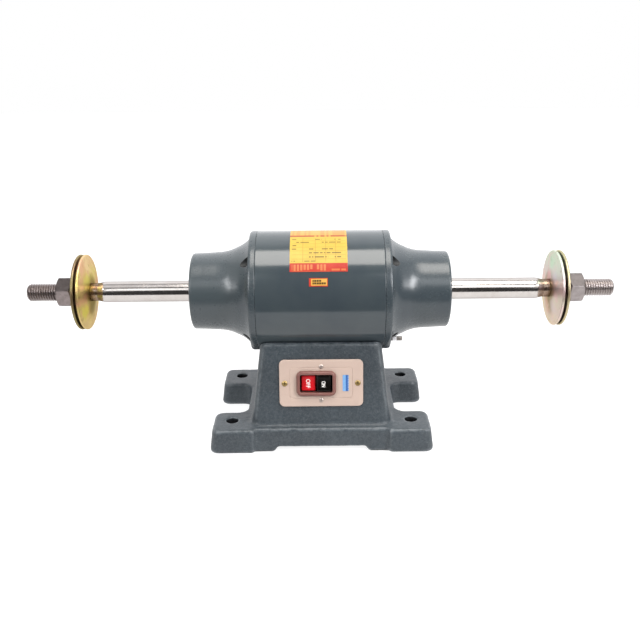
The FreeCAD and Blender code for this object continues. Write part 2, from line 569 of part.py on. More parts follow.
# seesaw under the two buttons: the button that is up has its end of the seesaw up
ARM = 7.2
tilt = math.degrees(math.asin(TRAVEL / 2 / ARM))
seesaw = prism(19.6, 6.0, 1.2, -0.9, 0.9)
seesaw = seesaw.fuse(Part.makeCylinder(1.9, 6.0, V(0, -3.0, 0), EY))
seesaw = seesaw.fuse([Part.makeBox(2.6, 6.0, 2.1, V(s * ARM - 1.3, -3.0, 0.0)) for s in (-1, 1)])
seesaw = seesaw.fuse([Part.makeCylinder(1.3, 6.0, V(s * ARM, -3.0, 2.1), EY) for s in (-1, 1)])
seesaw = seesaw.cut(Part.makeCylinder(1.06, 8.0, V(0, -4.0, 0), EY)).removeSplitter()
seesaw.rotate(ORIGIN, EY, -tilt)
seesaw.translate(V(BX, BY, PIV_Z))
save("seesaw_link", on_face(seesaw), 1)
pin = Part.makeCylinder(1.0, 18.8, V(BX, BY - 9.4, PIV_Z), EY)
save("seesaw_pin", on_face(pin), 1)

terms = []
for sx in (-1, 1):
    for sy in (-1, 1):
        t = Part.makeBox(5.0, 0.9, 7.0, V(BX + sx * 12.0 - 2.5, sy * 9.0 - 0.45, HB - 7.02))
        t = t.cut(Part.makeCylinder(1.1, 3.0, V(BX + sx * 12.0, sy * 9.0 - 1.5, HB - 4.6), EY))
        terms.append(t)
save("switch_terminals", on_face(Part.makeCompound(terms)), 4)


def face_screw(x, y, r_head, h, r, length, z, phillips=True):
    s = Part.makeSphere(r_head * 1.5, V(x, y, z + h - r_head * 1.5)).common(Part.makeCylinder(r_head, h, V(x, y, z), EZ))
    s = s.fuse(Part.makeCylinder(r, length, V(x, y, z - length), EZ))
    w = r_head * 0.28
    s = s.cut([Part.makeBox(r_head * 1.2, w, 0.7, V(x - r_head * 0.6, y - w / 2, z + h - 0.55)), Part.makeBox(w, r_head * 1.2, 0.7, V(x - w / 2, y - r_head * 0.6, z + h - 0.55))])
    return s.Solids[0]


save("plate_screws", on_face(Part.makeCompound([face_screw(s * PS_X, 0, 2.6, 1.3, 1.45, 7.0, PLATE_T + 0.02) for s in (-1, 1)])), 2)
save("switch_fixing_screws", on_face(Part.makeCompound([face_screw(0, s * PS_Y, 2.0, 1.1, 1.2, 9.0, PLATE_T + 0.02) for s in (-1, 1)])), 2)
save("switch_label", on_face(prism(5.4, 14.8, 0.4, PLATE_T + 0.01, PLATE_T + 0.16, 21.9, 0.0)), 1)

# ==== labels on the shell ========================================================================


def shell_label(x0, x1, a0, a1, t=0.2):
    r0, r1 = SHELL_R + 0.01, SHELL_R + 0.01 + t
    ang = math.radians(a0)
    p = V(0, -math.cos(ang), math.sin(ang))
    c = V(0, 0, AXIS_Z)
    f = Part.Face(Part.makePolygon([c + p * r0 + V(x0, 0, 0), c + p * r1 + V(x0, 0, 0), c + p * r1 + V(x1, 0, 0), c + p * r0 + V(x1, 0, 0), c + p * r0 + V(x0, 0, 0)]))
    s = f.revolve(c, V(-1, 0, 0), a1 - a0)
    s = s.Solids[0] if s.Solids else Part.Solid(s)
    if s.Volume < 0:
        s.reverse()
    return s


save("rating_label", shell_label(-26.4, 23.9, 34.1, 97.5), 1)
save("notice_label", shell_label(-9.7, 6.5, 20.7, 28.2), 1)

# ==== inside the pedestal ========================================================================
CAP_Y, CAP_Z, CAP_R = 24.0, 31.0, 17.0
can = cyl(CAP_R, -14.0, 44.0, CAP_Y, CAP_Z)
can = can.makeFillet(1.5, [e for e in can.Edges if e.BoundBox.XLength < 1e-6])
can = can.fuse([cyl(1.6, -20.0, -13.9, CAP_Y + s * 6.0, CAP_Z) for s in (-1, 1)])
save("run_capacitor", can, 1)
strap = cyl(CAP_R + 1.3, 10.0, 22.0, CAP_Y, CAP_Z).cut(cyl(CAP_R + 0.05, 0, 40, CAP_Y, CAP_Z))
strap = strap.cut(Part.makeBox(20, 60, 30, V(5, CAP_Y - 30, CAP_Z - 30 - 0.0)))
strap = strap.fuse([Part.makeBox(12.0, 9.0, 1.3, V(10.0, CAP_Y + (CAP_R + 0.05 if s > 0 else -CAP_R - 0.05 - 9.0), CAP_Z)) for s in (-1, 1)])
legs = [Part.makeBox(12.0, 1.3, CAP_Z - COVER_Z + 1.3, V(10.0, CAP_Y + (CAP_R + 7.75 if s > 0 else -CAP_R - 9.05), COVER_Z)) for s in (-1, 1)]
strap = strap.fuse(legs).removeSplitter()
save("capacitor_clamp", strap, 1)

block = Part.makeBox(30.0, 12.0, 9.0, V(-46.0, -20.0, COVER_Z))
block = block.cut([vcyl(2.2, COVER_Z + 3, 30, -41.0 + 10.0 * i, -14.0) for i in range(3)])
save("terminal_block", block, 1)
save("terminal_screws", Part.makeCompound([vcyl(2.0, COVER_Z + 3.02, COVER_Z + 7.5, -41.0 + 10.0 * i, -14.0).cut(Part.makeBox(4.4, 0.7, 1.0, V(-43.2 + 10.0 * i, -14.35, COVER_Z + 6.8))) for i in range(3)]), 3)

# rubber bush where the motor's leads pass from the shell into the pedestal
bush = vcyl(5.55, 68.6, 84.0, LEAD_X, 0).cut(vcyl(3.9, 0, 100, LEAD_X, 0))
bush = bush.fuse(vcyl(7.6, CEIL_Z - 2.6, CEIL_Z - 0.02, LEAD_X, 0).cut(vcyl(3.9, 0, 100, LEAD_X, 0))).removeSplitter()
save("lead_bush", bush, 1)

leads = []
for i, (dx, dy) in enumerate(((0.0, 2.0), (1.75, -1.0), (-1.75, -1.0))):
    x = LEAD_X + dx
    leads.append(pipe([(x, dy, 90.5), (x, dy, 58.0 - 4 * i), (x + 2 - 2 * i, -14.0 + 6.0 * i, 44.0 - 4 * i), (-41.0 + 10.0 * i, -14.0, 30.0 - 2 * i), (-41.0 + 10.0 * i, -14.0, COVER_Z + 7.7)], 1.1, 3.2))
save("motor_leads", Part.makeCompound(leads), 3)

# rubber cable inlet in the rear wall, with a narrow nose that grips the supply cord
GR_Y = 60.2
gr = [(GR_Y + 9.0, 6.4), (GR_Y + 2.6, 7.6), (GR_Y + 2.6, 9.8), (GR_Y + 0.02, 9.8), (GR_Y + 0.02, 6.5), (47.6, 6.5), (47.6, 8.4), (45.0, 7.4), (45.0, 5.2), (GR_Y, 5.2), (GR_Y + 1.0, 4.0), (GR_Y + 9.0, 4.0)]
pts = [V(INLET_X + r, y, INLET_Z) for y, r in gr]
f = Part.Face(Part.makePolygon(pts + [pts[0]]))
grom = f.revolve(V(INLET_X, 0, INLET_Z), EY, 360)
grom = grom.Solids[0] if grom.Solids else Part.Solid(grom)
if grom.Volume < 0:
    grom.reverse()
save("cable_inlet_bush", grom, 1)

# earthing screw on a pad inside
earth = vcyl(4.0, CEIL_Z - 3.2, CEIL_Z - 0.02, 44.0, -30.0).cut(Part.makeBox(9, 1.0, 1.0, V(39.5, -30.5, CEIL_Z - 3.3)))
save("earth_screw", earth, 1)

print(len(made), "nodes")
for k, v in made.items():
    print(f"{k:28s} {v}")
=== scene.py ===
import bpy
import math
import random
import numpy as np
from mathutils import Matrix, Vector, noise


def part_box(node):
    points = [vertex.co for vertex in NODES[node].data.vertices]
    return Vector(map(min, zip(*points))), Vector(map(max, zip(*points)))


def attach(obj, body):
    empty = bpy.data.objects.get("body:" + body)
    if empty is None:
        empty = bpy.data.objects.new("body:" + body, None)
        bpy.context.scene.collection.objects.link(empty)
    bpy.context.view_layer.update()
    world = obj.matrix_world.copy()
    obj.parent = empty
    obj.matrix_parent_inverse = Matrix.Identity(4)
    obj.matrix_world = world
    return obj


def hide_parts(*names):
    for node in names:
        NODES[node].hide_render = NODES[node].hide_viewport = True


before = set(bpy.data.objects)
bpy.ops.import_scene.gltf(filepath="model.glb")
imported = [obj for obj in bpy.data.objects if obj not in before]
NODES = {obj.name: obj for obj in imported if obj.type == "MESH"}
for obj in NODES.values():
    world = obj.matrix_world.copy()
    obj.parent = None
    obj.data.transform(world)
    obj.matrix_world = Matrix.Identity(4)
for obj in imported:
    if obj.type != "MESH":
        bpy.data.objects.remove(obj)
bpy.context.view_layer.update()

SCENE = bpy.context.scene
MM = 0.001

# ---- the same driving dimensions as the CAD, in millimetres --------------------------------------
AXIS_Z = 132.0
SHELL_R, SHAFT_R, NECK_R, TIP_X = 55.0, 9.7, 8.3, 270.8
THREAD_R, PITCH = 7.94, 25.4 / 11
FLANGE_X, FLANGE_R, FLANGE_T, FLANGE_DISH, RIM_GAP = 212.2, 34.8, 2.6, 3.1, 1.9
NUT_X0, NUT_X1, NUT_AF = 229.1, 242.2, 25.4
PLATE_W, PLATE_H, PLATE_T, PLATE_R = 75.2, 42.8, 2.0, 4.6
BEZEL_W, BEZEL_H, BEZEL_R, BEZEL_T = 35.6, 23.0, 5.0, 3.2
BX, BY, WIN_W, WIN_H = -4.5, -0.1, 29.0, 16.2
BTN_W, BTN_H, BTN_GAP = 12.4, 14.0, 1.4
ON_TOP, OFF_TOP = PLATE_T + 1.9, PLATE_T + 1.9 - 3.0
SLOPE = math.atan2(60.764 - 46.383, 96.6 - 22.7)
PLATE_Z = 61.5
PLATE_Y = -(60.764 - (PLATE_Z - 22.7) * math.tan(SLOPE))
UP = Vector((0, math.sin(SLOPE), math.cos(SLOPE)))
OUT = Vector((0, -math.cos(SLOPE), math.sin(SLOPE)))


def on_face(x, y, z):
    """A point of the sloping front face: x to the right, y up the face, z out of it, in mm, to metres."""
    return (Vector((x, PLATE_Y, PLATE_Z)) + UP * y + OUT * z) * MM


# ==== camera ======================================================================================
cam_data = bpy.data.cameras.new("camera")
cam_data.lens = 45.0
cam_data.sensor_width = 36.0
cam_data.dof.use_dof = False
cam_data.shift_x = -0.6 / 640.0
cam_data.shift_y = 0.95 / 640.0
cam = bpy.data.objects.new("camera", cam_data)
SCENE.collection.objects.link(cam)
pitch, roll = math.radians(90.0 - 19.9), math.radians(-0.55)
cam.matrix_world = Matrix.Translation((0.0, -0.7094, 0.358)) @ Matrix.Rotation(pitch, 4, "X") @ Matrix.Rotation(roll, 4, "Z")
SCENE.camera = cam
SCENE.view_settings.view_transform = "Standard"
SCENE.view_settings.look = "None"


# ==== mesh helpers ================================================================================
def add_object(name, verts, faces, mat_index=None, sharp=35.0):
    me = bpy.data.meshes.new(name)
    me.from_pydata([tuple(v) for v in verts], [], faces)
    me.validate()
    me.update()
    me.polygons.foreach_set("use_smooth", [True] * len(me.polygons))
    if mat_index is not None:
        me.polygons.foreach_set("material_index", mat_index)
    me.set_sharp_from_angle(angle=math.radians(sharp))
    ob = bpy.data.objects.new(name, me)
    SCENE.collection.objects.link(ob)
    return ob


def round_outline(points, radii, n=5):
    """A polyline with its inner corners rounded. radii gives one radius per point, 0 for none."""
    out = []
    for i, p in enumerate(points):
        p = Vector(p)
        r = radii[i]
        if r <= 0 or i == 0 or i == len(points) - 1:
            out.append(p)
            continue
        a, b = Vector(points[i - 1]) - p, Vector(points[i + 1]) - p
        la, lb = a.length, b.length
        a.normalize(), b.normalize()
        half = math.acos(max(-1.0, min(1.0, a.dot(b)))) / 2
        t = min(r / math.tan(half), la * 0.49, lb * 0.49)
        r = t * math.tan(half)
        c = p + (a + b).normalized() * (r / math.sin(half))
        s, e = p + a * t - c, p + b * t - c
        turn = math.atan2(s.x * e.y - s.y * e.x, s.dot(e))
        for k in range(n + 1):
            q = turn * k / n
            out.append(c + Vector((s.x * math.cos(q) - s.y * math.sin(q), s.x * math.sin(q) + s.y * math.cos(q))))
    return out


def revolve(name, outline, seg=128, closed=True, mat=None, sharp=35.0):
    """Revolves an (x, r) outline, in mm, about the spindle axis. closed joins the last point to the first."""
    n = len(outline)
    verts, faces, mats = [], [], []
    for x, r in outline:
        for k in range(seg):
            a = 2 * math.pi * k / seg
            verts.append((x * MM, r * math.sin(a) * MM, (AXIS_Z + r * math.cos(a)) * MM))
    for i in range(n if closed else n - 1):
        j = (i + 1) % n
        for k in range(seg):
            m = (k + 1) % seg
            faces.append((i * seg + k, i * seg + m, j * seg + m, j * seg + k))
            mats.append(mat(i) if mat else 0)
    return add_object(name, verts, faces, mats, sharp)


def fix_normals(ob):
    import bmesh
    bm = bmesh.new()
    bm.from_mesh(ob.data)
    bmesh.ops.recalc_face_normals(bm, faces=bm.faces)
    bm.to_mesh(ob.data)
    bm.free()
    ob.data.update()
    return ob


def rr(w, h, r, cx=0.0, cy=0.0, n=6):
    """Points of a rounded rectangle, anticlockwise, the same number whatever its size."""
    r = max(min(r, w / 2 - 1e-3, h / 2 - 1e-3), 1e-3)
    pts = []
    for sx, sy, a0 in ((1, -1, -90), (1, 1, 0), (-1, 1, 90), (-1, -1, 180)):
        ox, oy = cx + sx * (w / 2 - r), cy + sy * (h / 2 - r)
        for k in range(n + 1):
            a = math.radians(a0 + 90.0 * k / n)
            pts.append((ox + r * math.cos(a), oy + r * math.sin(a)))
    # more points along the long straight runs keep the quads square
    out = []
    m = len(pts)
    for i in range(m):
        p, q = pts[i], pts[(i + 1) % m]
        out.append(p)
        if (i + 1) % (n + 1) == 0:
            for k in range(1, 8):
                out.append((p[0] + (q[0] - p[0]) * k / 8.0, p[1] + (q[1] - p[1]) * k / 8.0))
    return out


def loops(name, rings, cap_first=False, cap_last=False, closed=False, sharp=35.0):
    """A skin through rounded-rectangle rings on the sloping face. rings = [(points, z or z function), ...]."""
    verts, faces = [], []
    m = len(rings[0][0])
    for pts, z in rings:
        for x, y in pts:
            verts.append(on_face(x, y, z(x, y) if callable(z) else z))
    k = len(rings)
    for i in range(k if closed else k - 1):
        j = (i + 1) % k
        for a in range(m):
            b = (a + 1) % m
            faces.append((i * m + a, i * m + b, j * m + b, j * m + a))
    for cap, i in ((cap_first, 0), (cap_last, k - 1)):
        if cap:
            c = len(verts)
            verts.append(sum((verts[i * m + a] for a in range(m)), Vector()) / m)
            for a in range(m):
                faces.append((c, i * m + a, i * m + (a + 1) % m))
    ob = add_object(name, verts, faces, None, sharp)
    fix_normals(ob)
    ob.data.set_sharp_from_angle(angle=math.radians(sharp))
    return ob


# ==== material helpers ============================================================================
def lin(r, g, b, k=1.0):
    """sRGB 0..255 to linear, times k."""
    out = []
    for c in (r, g, b):
        c = c / 255.0
        c = c / 12.92 if c <= 0.04045 else ((c + 0.055) / 1.055) ** 2.4
        out.append(min(c * k, 0.95))
    return (*out, 1.0)


class Shade:
    """One node material, with short calls for the nodes that it uses."""

    def __init__(self, name):
        self.m = bpy.data.materials.new(name)
        self.m.use_nodes = True
        self.t = self.m.node_tree
        self.t.nodes.clear()
        self.out = self.t.nodes.new("ShaderNodeOutputMaterial")
        self.b = self.t.nodes.new("ShaderNodeBsdfPrincipled")
        self.t.links.new(self.b.outputs[0], self.out.inputs[0])
        tc = self.t.nodes.new("ShaderNodeTexCoord")
        self.mm = self.vmath("SCALE", tc.outputs["Object"], scale=1000.0)
        self._xyz = None

    def put(self, socket, value):
        if isinstance(value, bpy.types.NodeSocket):
            self.t.links.new(value, socket)
        elif value is not None:
            socket.default_value = value

    def vmath(self, op, a, b=None, scale=None):
        n = self.t.nodes.new("ShaderNodeVectorMath")
        n.operation = op
        self.put(n.inputs[0], a)
        if b is not None:
            self.put(n.inputs[1], b)
        if scale is not None:
            n.inputs["Scale"].default_value = scale
        return n.outputs["Value"] if op in ("DOT_PRODUCT", "LENGTH", "DISTANCE") else n.outputs["Vector"]

    def math(self, op, a, b=None, c=None, clamp=False):
        n = self.t.nodes.new("ShaderNodeMath")
        n.operation = op
        n.use_clamp = clamp
        self.put(n.inputs[0], a)
        if b is not None:
            self.put(n.inputs[1], b)
        if c is not None:
            self.put(n.inputs[2], c)
        return n.outputs[0]

    @property
    def xyz(self):
        if self._xyz is None:
            n = self.t.nodes.new("ShaderNodeSeparateXYZ")
            self.put(n.inputs[0], self.mm)
            self._xyz = (n.outputs[0], n.outputs[1], n.outputs[2])
        return self._xyz

    def combine(self, x, y, z):
        n = self.t.nodes.new("ShaderNodeCombineXYZ")
        for i, v in enumerate((x, y, z)):
            self.put(n.inputs[i], v)
        return n.outputs[0]

    def noise(self, scale, detail=2.0, rough=0.5, vec=None, distortion=0.0, color=False):
        """Noise of scale features per millimetre."""
        n = self.t.nodes.new("ShaderNodeTexNoise")
        self.put(n.inputs["Vector"], vec if vec is not None else self.mm)
        n.inputs["Scale"].default_value = scale
        n.inputs["Detail"].default_value = detail
        n.inputs["Roughness"].default_value = rough
        n.inputs["Distortion"].default_value = distortion
        return n.outputs["Color" if color else "Fac"]

    def voronoi(self, scale, vec=None, feature="F1", output="Distance"):
        n = self.t.nodes.new("ShaderNodeTexVoronoi")
        n.feature = feature
        self.put(n.inputs["Vector"], vec if vec is not None else self.mm)
        n.inputs["Scale"].default_value = scale
        return n.outputs[output]

    def white(self, vec):
        n = self.t.nodes.new("ShaderNodeTexWhiteNoise")
        n.noise_dimensions = "3D"
        self.put(n.inputs["Vector"], vec)
        return n.outputs["Value"]

    def remap(self, v, a, b, c=0.0, d=1.0, smooth=False):
        n = self.t.nodes.new("ShaderNodeMapRange")
        n.clamp = True
        n.interpolation_type = "SMOOTHSTEP" if smooth else "LINEAR"
        self.put(n.inputs["Value"], v)
        for name, x in (("From Min", a), ("From Max", b), ("To Min", c), ("To Max", d)):
            n.inputs[name].default_value = x
        return n.outputs["Result"]

    def ramp(self, fac, stops):
        n = self.t.nodes.new("ShaderNodeValToRGB")
        el = n.color_ramp.elements
        while len(el) < len(stops):
            el.new(0.5)
        for e, (p, c) in zip(el, stops):
            e.position = p
            e.color = c if len(c) == 4 else (*c, 1.0)
        self.put(n.inputs[0], fac)
        return n.outputs[0]

    def mix(self, fac, a, b, blend="MIX"):
        n = self.t.nodes.new("ShaderNodeMix")
        n.data_type = "RGBA"
        n.blend_type = blend
        self.put(n.inputs[0], fac)
        self.put(n.inputs[6], a)
        self.put(n.inputs[7], b)
        return n.outputs[2]

    def bevel(self, radius_mm, samples=4):
        n = self.t.nodes.new("ShaderNodeBevel")
        n.samples = samples
        n.inputs["Radius"].default_value = radius_mm * MM
        return n.outputs[0]

    def bump(self, height, dist_mm, strength=1.0, normal=None):
        n = self.t.nodes.new("ShaderNodeBump")
        n.inputs["Strength"].default_value = strength
        n.inputs["Distance"].default_value = dist_mm * MM
        self.put(n.inputs["Height"], height)
        if normal is not None:
            self.put(n.inputs["Normal"], normal)
        return n.outputs[0]

    def edges(self, bevel_out, lo=0.995, hi=0.90):
        """1 near a sharp edge, 0 on smooth ground."""
        g = self.t.nodes.new("ShaderNodeNewGeometry")
        d = self.vmath("DOT_PRODUCT", bevel_out, g.outputs["Normal"])
        return self.remap(d, lo, hi, 0.0, 1.0)

    def angle_about_spindle(self):
        """Angle about the spindle from the front, upwards, in degrees."""
        x, y, z = self.xyz
        a = self.math("ARCTAN2", self.math("SUBTRACT", z, AXIS_Z), self.math("MULTIPLY", y, -1.0))
        return self.math("MULTIPLY", a, 180.0 / math.pi)

    def radius_about_spindle(self):
        x, y, z = self.xyz
        return self.vmath("LENGTH", self.combine(0.0, y, self.math("SUBTRACT", z, AXIS_Z)))

    def set(self, color=None, rough=None, metal=0.0, normal=None, spec=None, ior=None, coat=None, coat_rough=None, sheen=None):
        i = self.b.inputs
        self.put(i["Base Color"], color)
        self.put(i["Roughness"], rough)
        i["Metallic"].default_value = metal
        if normal is not None:
            self.put(i["Normal"], normal)
        if spec is not None:
            i["Specular IOR Level"].default_value = spec
        if ior is not None:
            i["IOR"].default_value = ior
        if coat is not None:
            i["Coat Weight"].default_value = coat
        if coat_rough is not None:
            i["Coat Roughness"].default_value = coat_rough
        if sheen is not None:
            i["Sheen Weight"].default_value = sheen
        return self.m


def dress(node, *mats):
    """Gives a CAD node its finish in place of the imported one."""
    ob = NODES[node]
    if not ob.material_slots:
        raise RuntimeError(node + " has no material slot")
    for s in ob.material_slots:
        s.material = mats[0]


def piece(ob, mats, body, replaces):
    which = [p.material_index for p in ob.data.polygons]
    ob.data.materials.clear()
    for m in mats:
        ob.data.materials.append(m)
    if len(mats) > 1:
        ob.data.polygons.foreach_set("material_index", which)
    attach(ob, body)
    if replaces:
        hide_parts(*replaces)
    return ob


# ==== materials ===================================================================================
def gloss_paint(name, tone, rough0=0.13, wear=0.5, bevel=0.5, shade_pockets=False):
    s = Shade(name)
    broad = s.noise(0.018, 3.0, 0.55)
    fine = s.noise(0.35, 3.0, 0.6)
    c = s.mix(s.remap(broad, 0.3, 0.7, 0.0, 1.0, True), lin(*tone, 0.56), lin(tone[0] + 3, tone[1] + 2, tone[2] - 1, 0.67))
    speck = s.remap(s.noise(1.9, 2.0, 0.7), 0.70, 0.80)
    c = s.mix(s.math("MULTIPLY", speck, 0.07), c, lin(130, 134, 136))
    nb = s.bevel(bevel)
    e = s.math("MULTIPLY", s.edges(nb), s.remap(s.noise(0.22, 3.0, 0.7), 0.44, 0.66))
    c = s.mix(s.math("MULTIPLY", e, wear), c, lin(132, 138, 142, 0.7))
    r = s.remap(s.math("ADD", s.math("MULTIPLY", broad, 0.6), s.math("MULTIPLY", fine, 0.4)), 0.25, 0.75, rough0 - 0.03, rough0 + 0.07)
    r = s.math("ADD", r, s.math("MULTIPLY", e, 0.2))
    if shade_pockets:                                      # painted shade in the recesses round the bolt heads
        x, y, z = s.xyz
        py = s.math("SUBTRACT", s.math("ABSOLUTE", y), 47.85 * math.cos(math.radians(49.0)))
        pz = s.math("SUBTRACT", s.math("ABSOLUTE", s.math("SUBTRACT", z, AXIS_Z)), 47.85 * math.sin(math.radians(49.0)))
        down = s.math("MULTIPLY", s.remap(s.vmath("LENGTH", s.combine(0.0, py, pz)), 4.75, 4.63), s.remap(s.math("ABSOLUTE", x), 58.8, 58.9))
        c = s.mix(s.math("MULTIPLY", down, s.remap(fine, 0.3, 0.7, 0.80, 0.92)), c, lin(18, 20, 22, 0.5))
        r = s.math("ADD", r, s.math("MULTIPLY", down, 0.35))
    peel = s.math("ADD", s.math("MULTIPLY", s.noise(0.45, 1.0, 0.4), 0.7), s.math("MULTIPLY", s.noise(1.6, 1.0, 0.4), 0.16))
    return s.set(c, r, 0.0, s.bump(peel, 0.020, 0.7, nb), ior=1.52)


def cast_paint(name, tone):
    """Enamel over sand-cast iron: a mottled, grainy skin, thin and pale on the proud edges, with painted highlights on
    those edges and along the body's corners and painted shade in the bolt holes.
    """
    s = Shade(name)
    x, y, z = s.xyz
    broad = s.noise(0.02, 3.0, 0.6)
    mid = s.noise(0.16, 3.0, 0.6)
    blot = s.noise(0.42, 3.0, 0.65)
    grain = s.noise(0.95, 3.0, 0.62)
    pits = s.remap(s.voronoi(0.55), 0.0, 0.38)
    c = s.mix(s.remap(broad, 0.3, 0.7, 0.0, 1.0, True), lin(*tone, 0.42), lin(tone[0] + 2, tone[1] + 3, tone[2] + 3, 0.53))
    c = s.mix(s.remap(blot, 0.40, 0.66, 0.0, 0.22), c, lin(104, 110, 114, 0.75))
    c = s.mix(s.remap(blot, 0.46, 0.30, 0.0, 0.30), c, lin(40, 48, 54, 0.8))
    c = s.mix(s.remap(grain, 0.56, 0.74, 0.0, 0.33), c, lin(122, 126, 128, 0.85))
    c = s.mix(s.math("MULTIPLY", s.remap(pits, 1.0, 0.0), 0.30), c, lin(28, 32, 36))
    # paint thins on the proud edges of the casting; the pale colour there is partly that wear and partly a painted
    # highlight
    g = s.t.nodes.new("ShaderNodeNewGeometry")
    proud = s.math("MULTIPLY", s.remap(g.outputs["Pointiness"], 0.512, 0.545), s.remap(mid, 0.34, 0.58))
    c = s.mix(s.math("MULTIPLY", proud, 0.62), c, lin(140, 146, 150, 0.85))
    # painted highlight along the four rounded corners of the tapered body
    k_ = s.remap(z, 22.7, 96.6)
    hw = s.math("ADD", s.math("MULTIPLY", k_, 54.4 - 63.3), 63.3 - 3.2)
    hd = s.math("ADD", s.math("MULTIPLY", k_, 46.383 - 60.764), 60.764 - 5.5)
    corner_highlight = s.remap(s.math("ABSOLUTE", s.math("SUBTRACT", s.math("ABSOLUTE", x), hw)), 1.5, 0.3)
    corner_highlight = s.math("MULTIPLY", corner_highlight, s.math("MULTIPLY", s.remap(s.math("SUBTRACT", s.math("ABSOLUTE", y), hd), 0.0, 0.5), s.math("MULTIPLY", s.remap(z, 27.0, 31.0), s.remap(z, 94.0, 91.0))))
    c = s.mix(s.math("MULTIPLY", s.math("MULTIPLY", corner_highlight, s.remap(mid, 0.32, 0.58, 0.15, 1.0)), 0.26), c, lin(140, 146, 150, 0.85))
    # painted shade: the bolt holes' insides near black
    ax = s.math("SUBTRACT", s.math("ABSOLUTE", x), 82.0)
    ay = s.math("SUBTRACT", s.math("ABSOLUTE", s.math("SUBTRACT", y, 2.5)), 51.0)
    hole_shade = s.math("MULTIPLY", s.remap(s.vmath("LENGTH", s.combine(ax, ay, 0.0)), 6.2, 5.7), s.remap(z, 22.0, 21.0))
    c = s.mix(s.math("MULTIPLY", hole_shade, 0.93), c, (0.004, 0.004, 0.005, 1.0))
    r = s.remap(s.math("ADD", s.math("MULTIPLY", mid, 0.5), s.math("MULTIPLY", grain, 0.5)), 0.3, 0.7, 0.36, 0.54)
    h = s.math("ADD", s.math("MULTIPLY", grain, 0.40), s.math("MULTIPLY", mid, 0.7))
    h = s.math("ADD", h, s.math("MULTIPLY", blot, 1.1))
    h = s.math("ADD", h, s.math("MULTIPLY", pits, 0.20))
    return s.set(c, r, 0.0, s.bump(h, 0.23, 1.0), ior=1.5)


def turned_steel(name, a, b, rough=(0.10, 0.20), ring=2.6, depth=0.004, metal=1.0, stain=0.25, bevel=None, samples=4, edge=1.0, neck_shade_reflection=None):
    """Steel turned or ground about the spindle: fine rings, faint stains."""
    s = Shade(name)
    x, y, z = s.xyz
    rr_ = s.radius_about_spindle()
    around = s.combine(s.math("MULTIPLY", x, ring), s.math("MULTIPLY", rr_, ring), 0.0)
    rings = s.noise(1.0, 3.0, 0.7, around)
    long_marks = s.noise(0.05, 4.0, 0.6)
    stains = s.remap(s.noise(0.11, 4.0, 0.65), 0.50, 0.72)
    c = s.mix(s.remap(long_marks, 0.3, 0.7), lin(*a), lin(*b))
    c = s.mix(s.math("MULTIPLY", stains, stain), c, lin(b[0] * 0.72, b[1] * 0.66, b[2] * 0.60))
    r = s.remap(rings, 0.3, 0.7, rough[0], rough[1])
    r = s.math("ADD", r, s.math("MULTIPLY", stains, 0.10))
    if neck_shade_reflection:                                         # painted shade and a painted brown-gold reflection of the flanges on the neck beside them
        near = s.math("MULTIPLY", s.remap(s.math("ABSOLUTE", x), 198.5, 207.0, 0.15, 0.78, True), s.remap(s.noise(0.3, 3.0, 0.6), 0.30, 0.55, 0.7, 1.0))
        c = s.mix(near, c, lin(*neck_shade_reflection))
        r = s.math("ADD", r, s.math("MULTIPLY", near, 0.14))
        # painted reflection: the left neck cone lightened to a pale grey
        cone = s.math("MULTIPLY", s.remap(x, -199.9, -200.6), s.remap(x, -206.4, -205.4))
        c = s.mix(s.math("MULTIPLY", cone, 0.5), c, lin(152, 152, 164))
    n = s.bevel(bevel, samples) if bevel else None
    s.b.inputs["Specular Tint"].default_value = (edge, edge, edge, 1.0)
    return s.set(c, r, metal, s.bump(rings, depth, 0.8, n))


def rough_steel(name, a, b, rough=(0.35, 0.55), metal=0.85, depth=0.05, bevel=0.35, facet_shading=None):
    s = Shade(name)
    n1 = s.noise(0.22, 4.0, 0.65)
    n2 = s.noise(1.3, 3.0, 0.7)
    c = s.mix(s.remap(n1, 0.3, 0.7), lin(*a), lin(*b))
    c = s.mix(s.remap(n2, 0.60, 0.78, 0.0, 0.5), c, lin(a[0] * 0.55, a[1] * 0.5, a[2] * 0.48))
    if facet_shading:                                       # painted light on two of a nut's six flats: the upper front one darker as painted shade, the front one lighter as a painted highlight
        a_ = s.angle_about_spindle()
        upper = s.math("MULTIPLY", s.math("GREATER_THAN", a_, 21.7), s.math("LESS_THAN", a_, 81.7))
        lower = s.math("MULTIPLY", s.math("GREATER_THAN", a_, -38.3), s.math("LESS_THAN", a_, 21.7))
        f = s.math("ADD", 1.0, s.math("ADD", s.math("MULTIPLY", upper, facet_shading[0] - 1.0), s.math("MULTIPLY", lower, facet_shading[1] - 1.0)))
        c = s.mix(1.0, c, s.combine(f, f, f), "MULTIPLY")
    nb = s.bevel(bevel) if bevel else None
    if bevel:
        e = s.math("MULTIPLY", s.edges(nb), s.remap(n1, 0.35, 0.6))
        c = s.mix(s.math("MULTIPLY", e, 0.5), c, lin(min(b[0] * 1.35, 235), min(b[1] * 1.35, 235), min(b[2] * 1.35, 235)))
    r = s.remap(n2, 0.3, 0.7, rough[0], rough[1])
    return s.set(c, r, metal, s.bump(s.math("ADD", s.math("MULTIPLY", n1, 0.8), s.math("MULTIPLY", n2, 0.35)), depth, 0.8, nb))


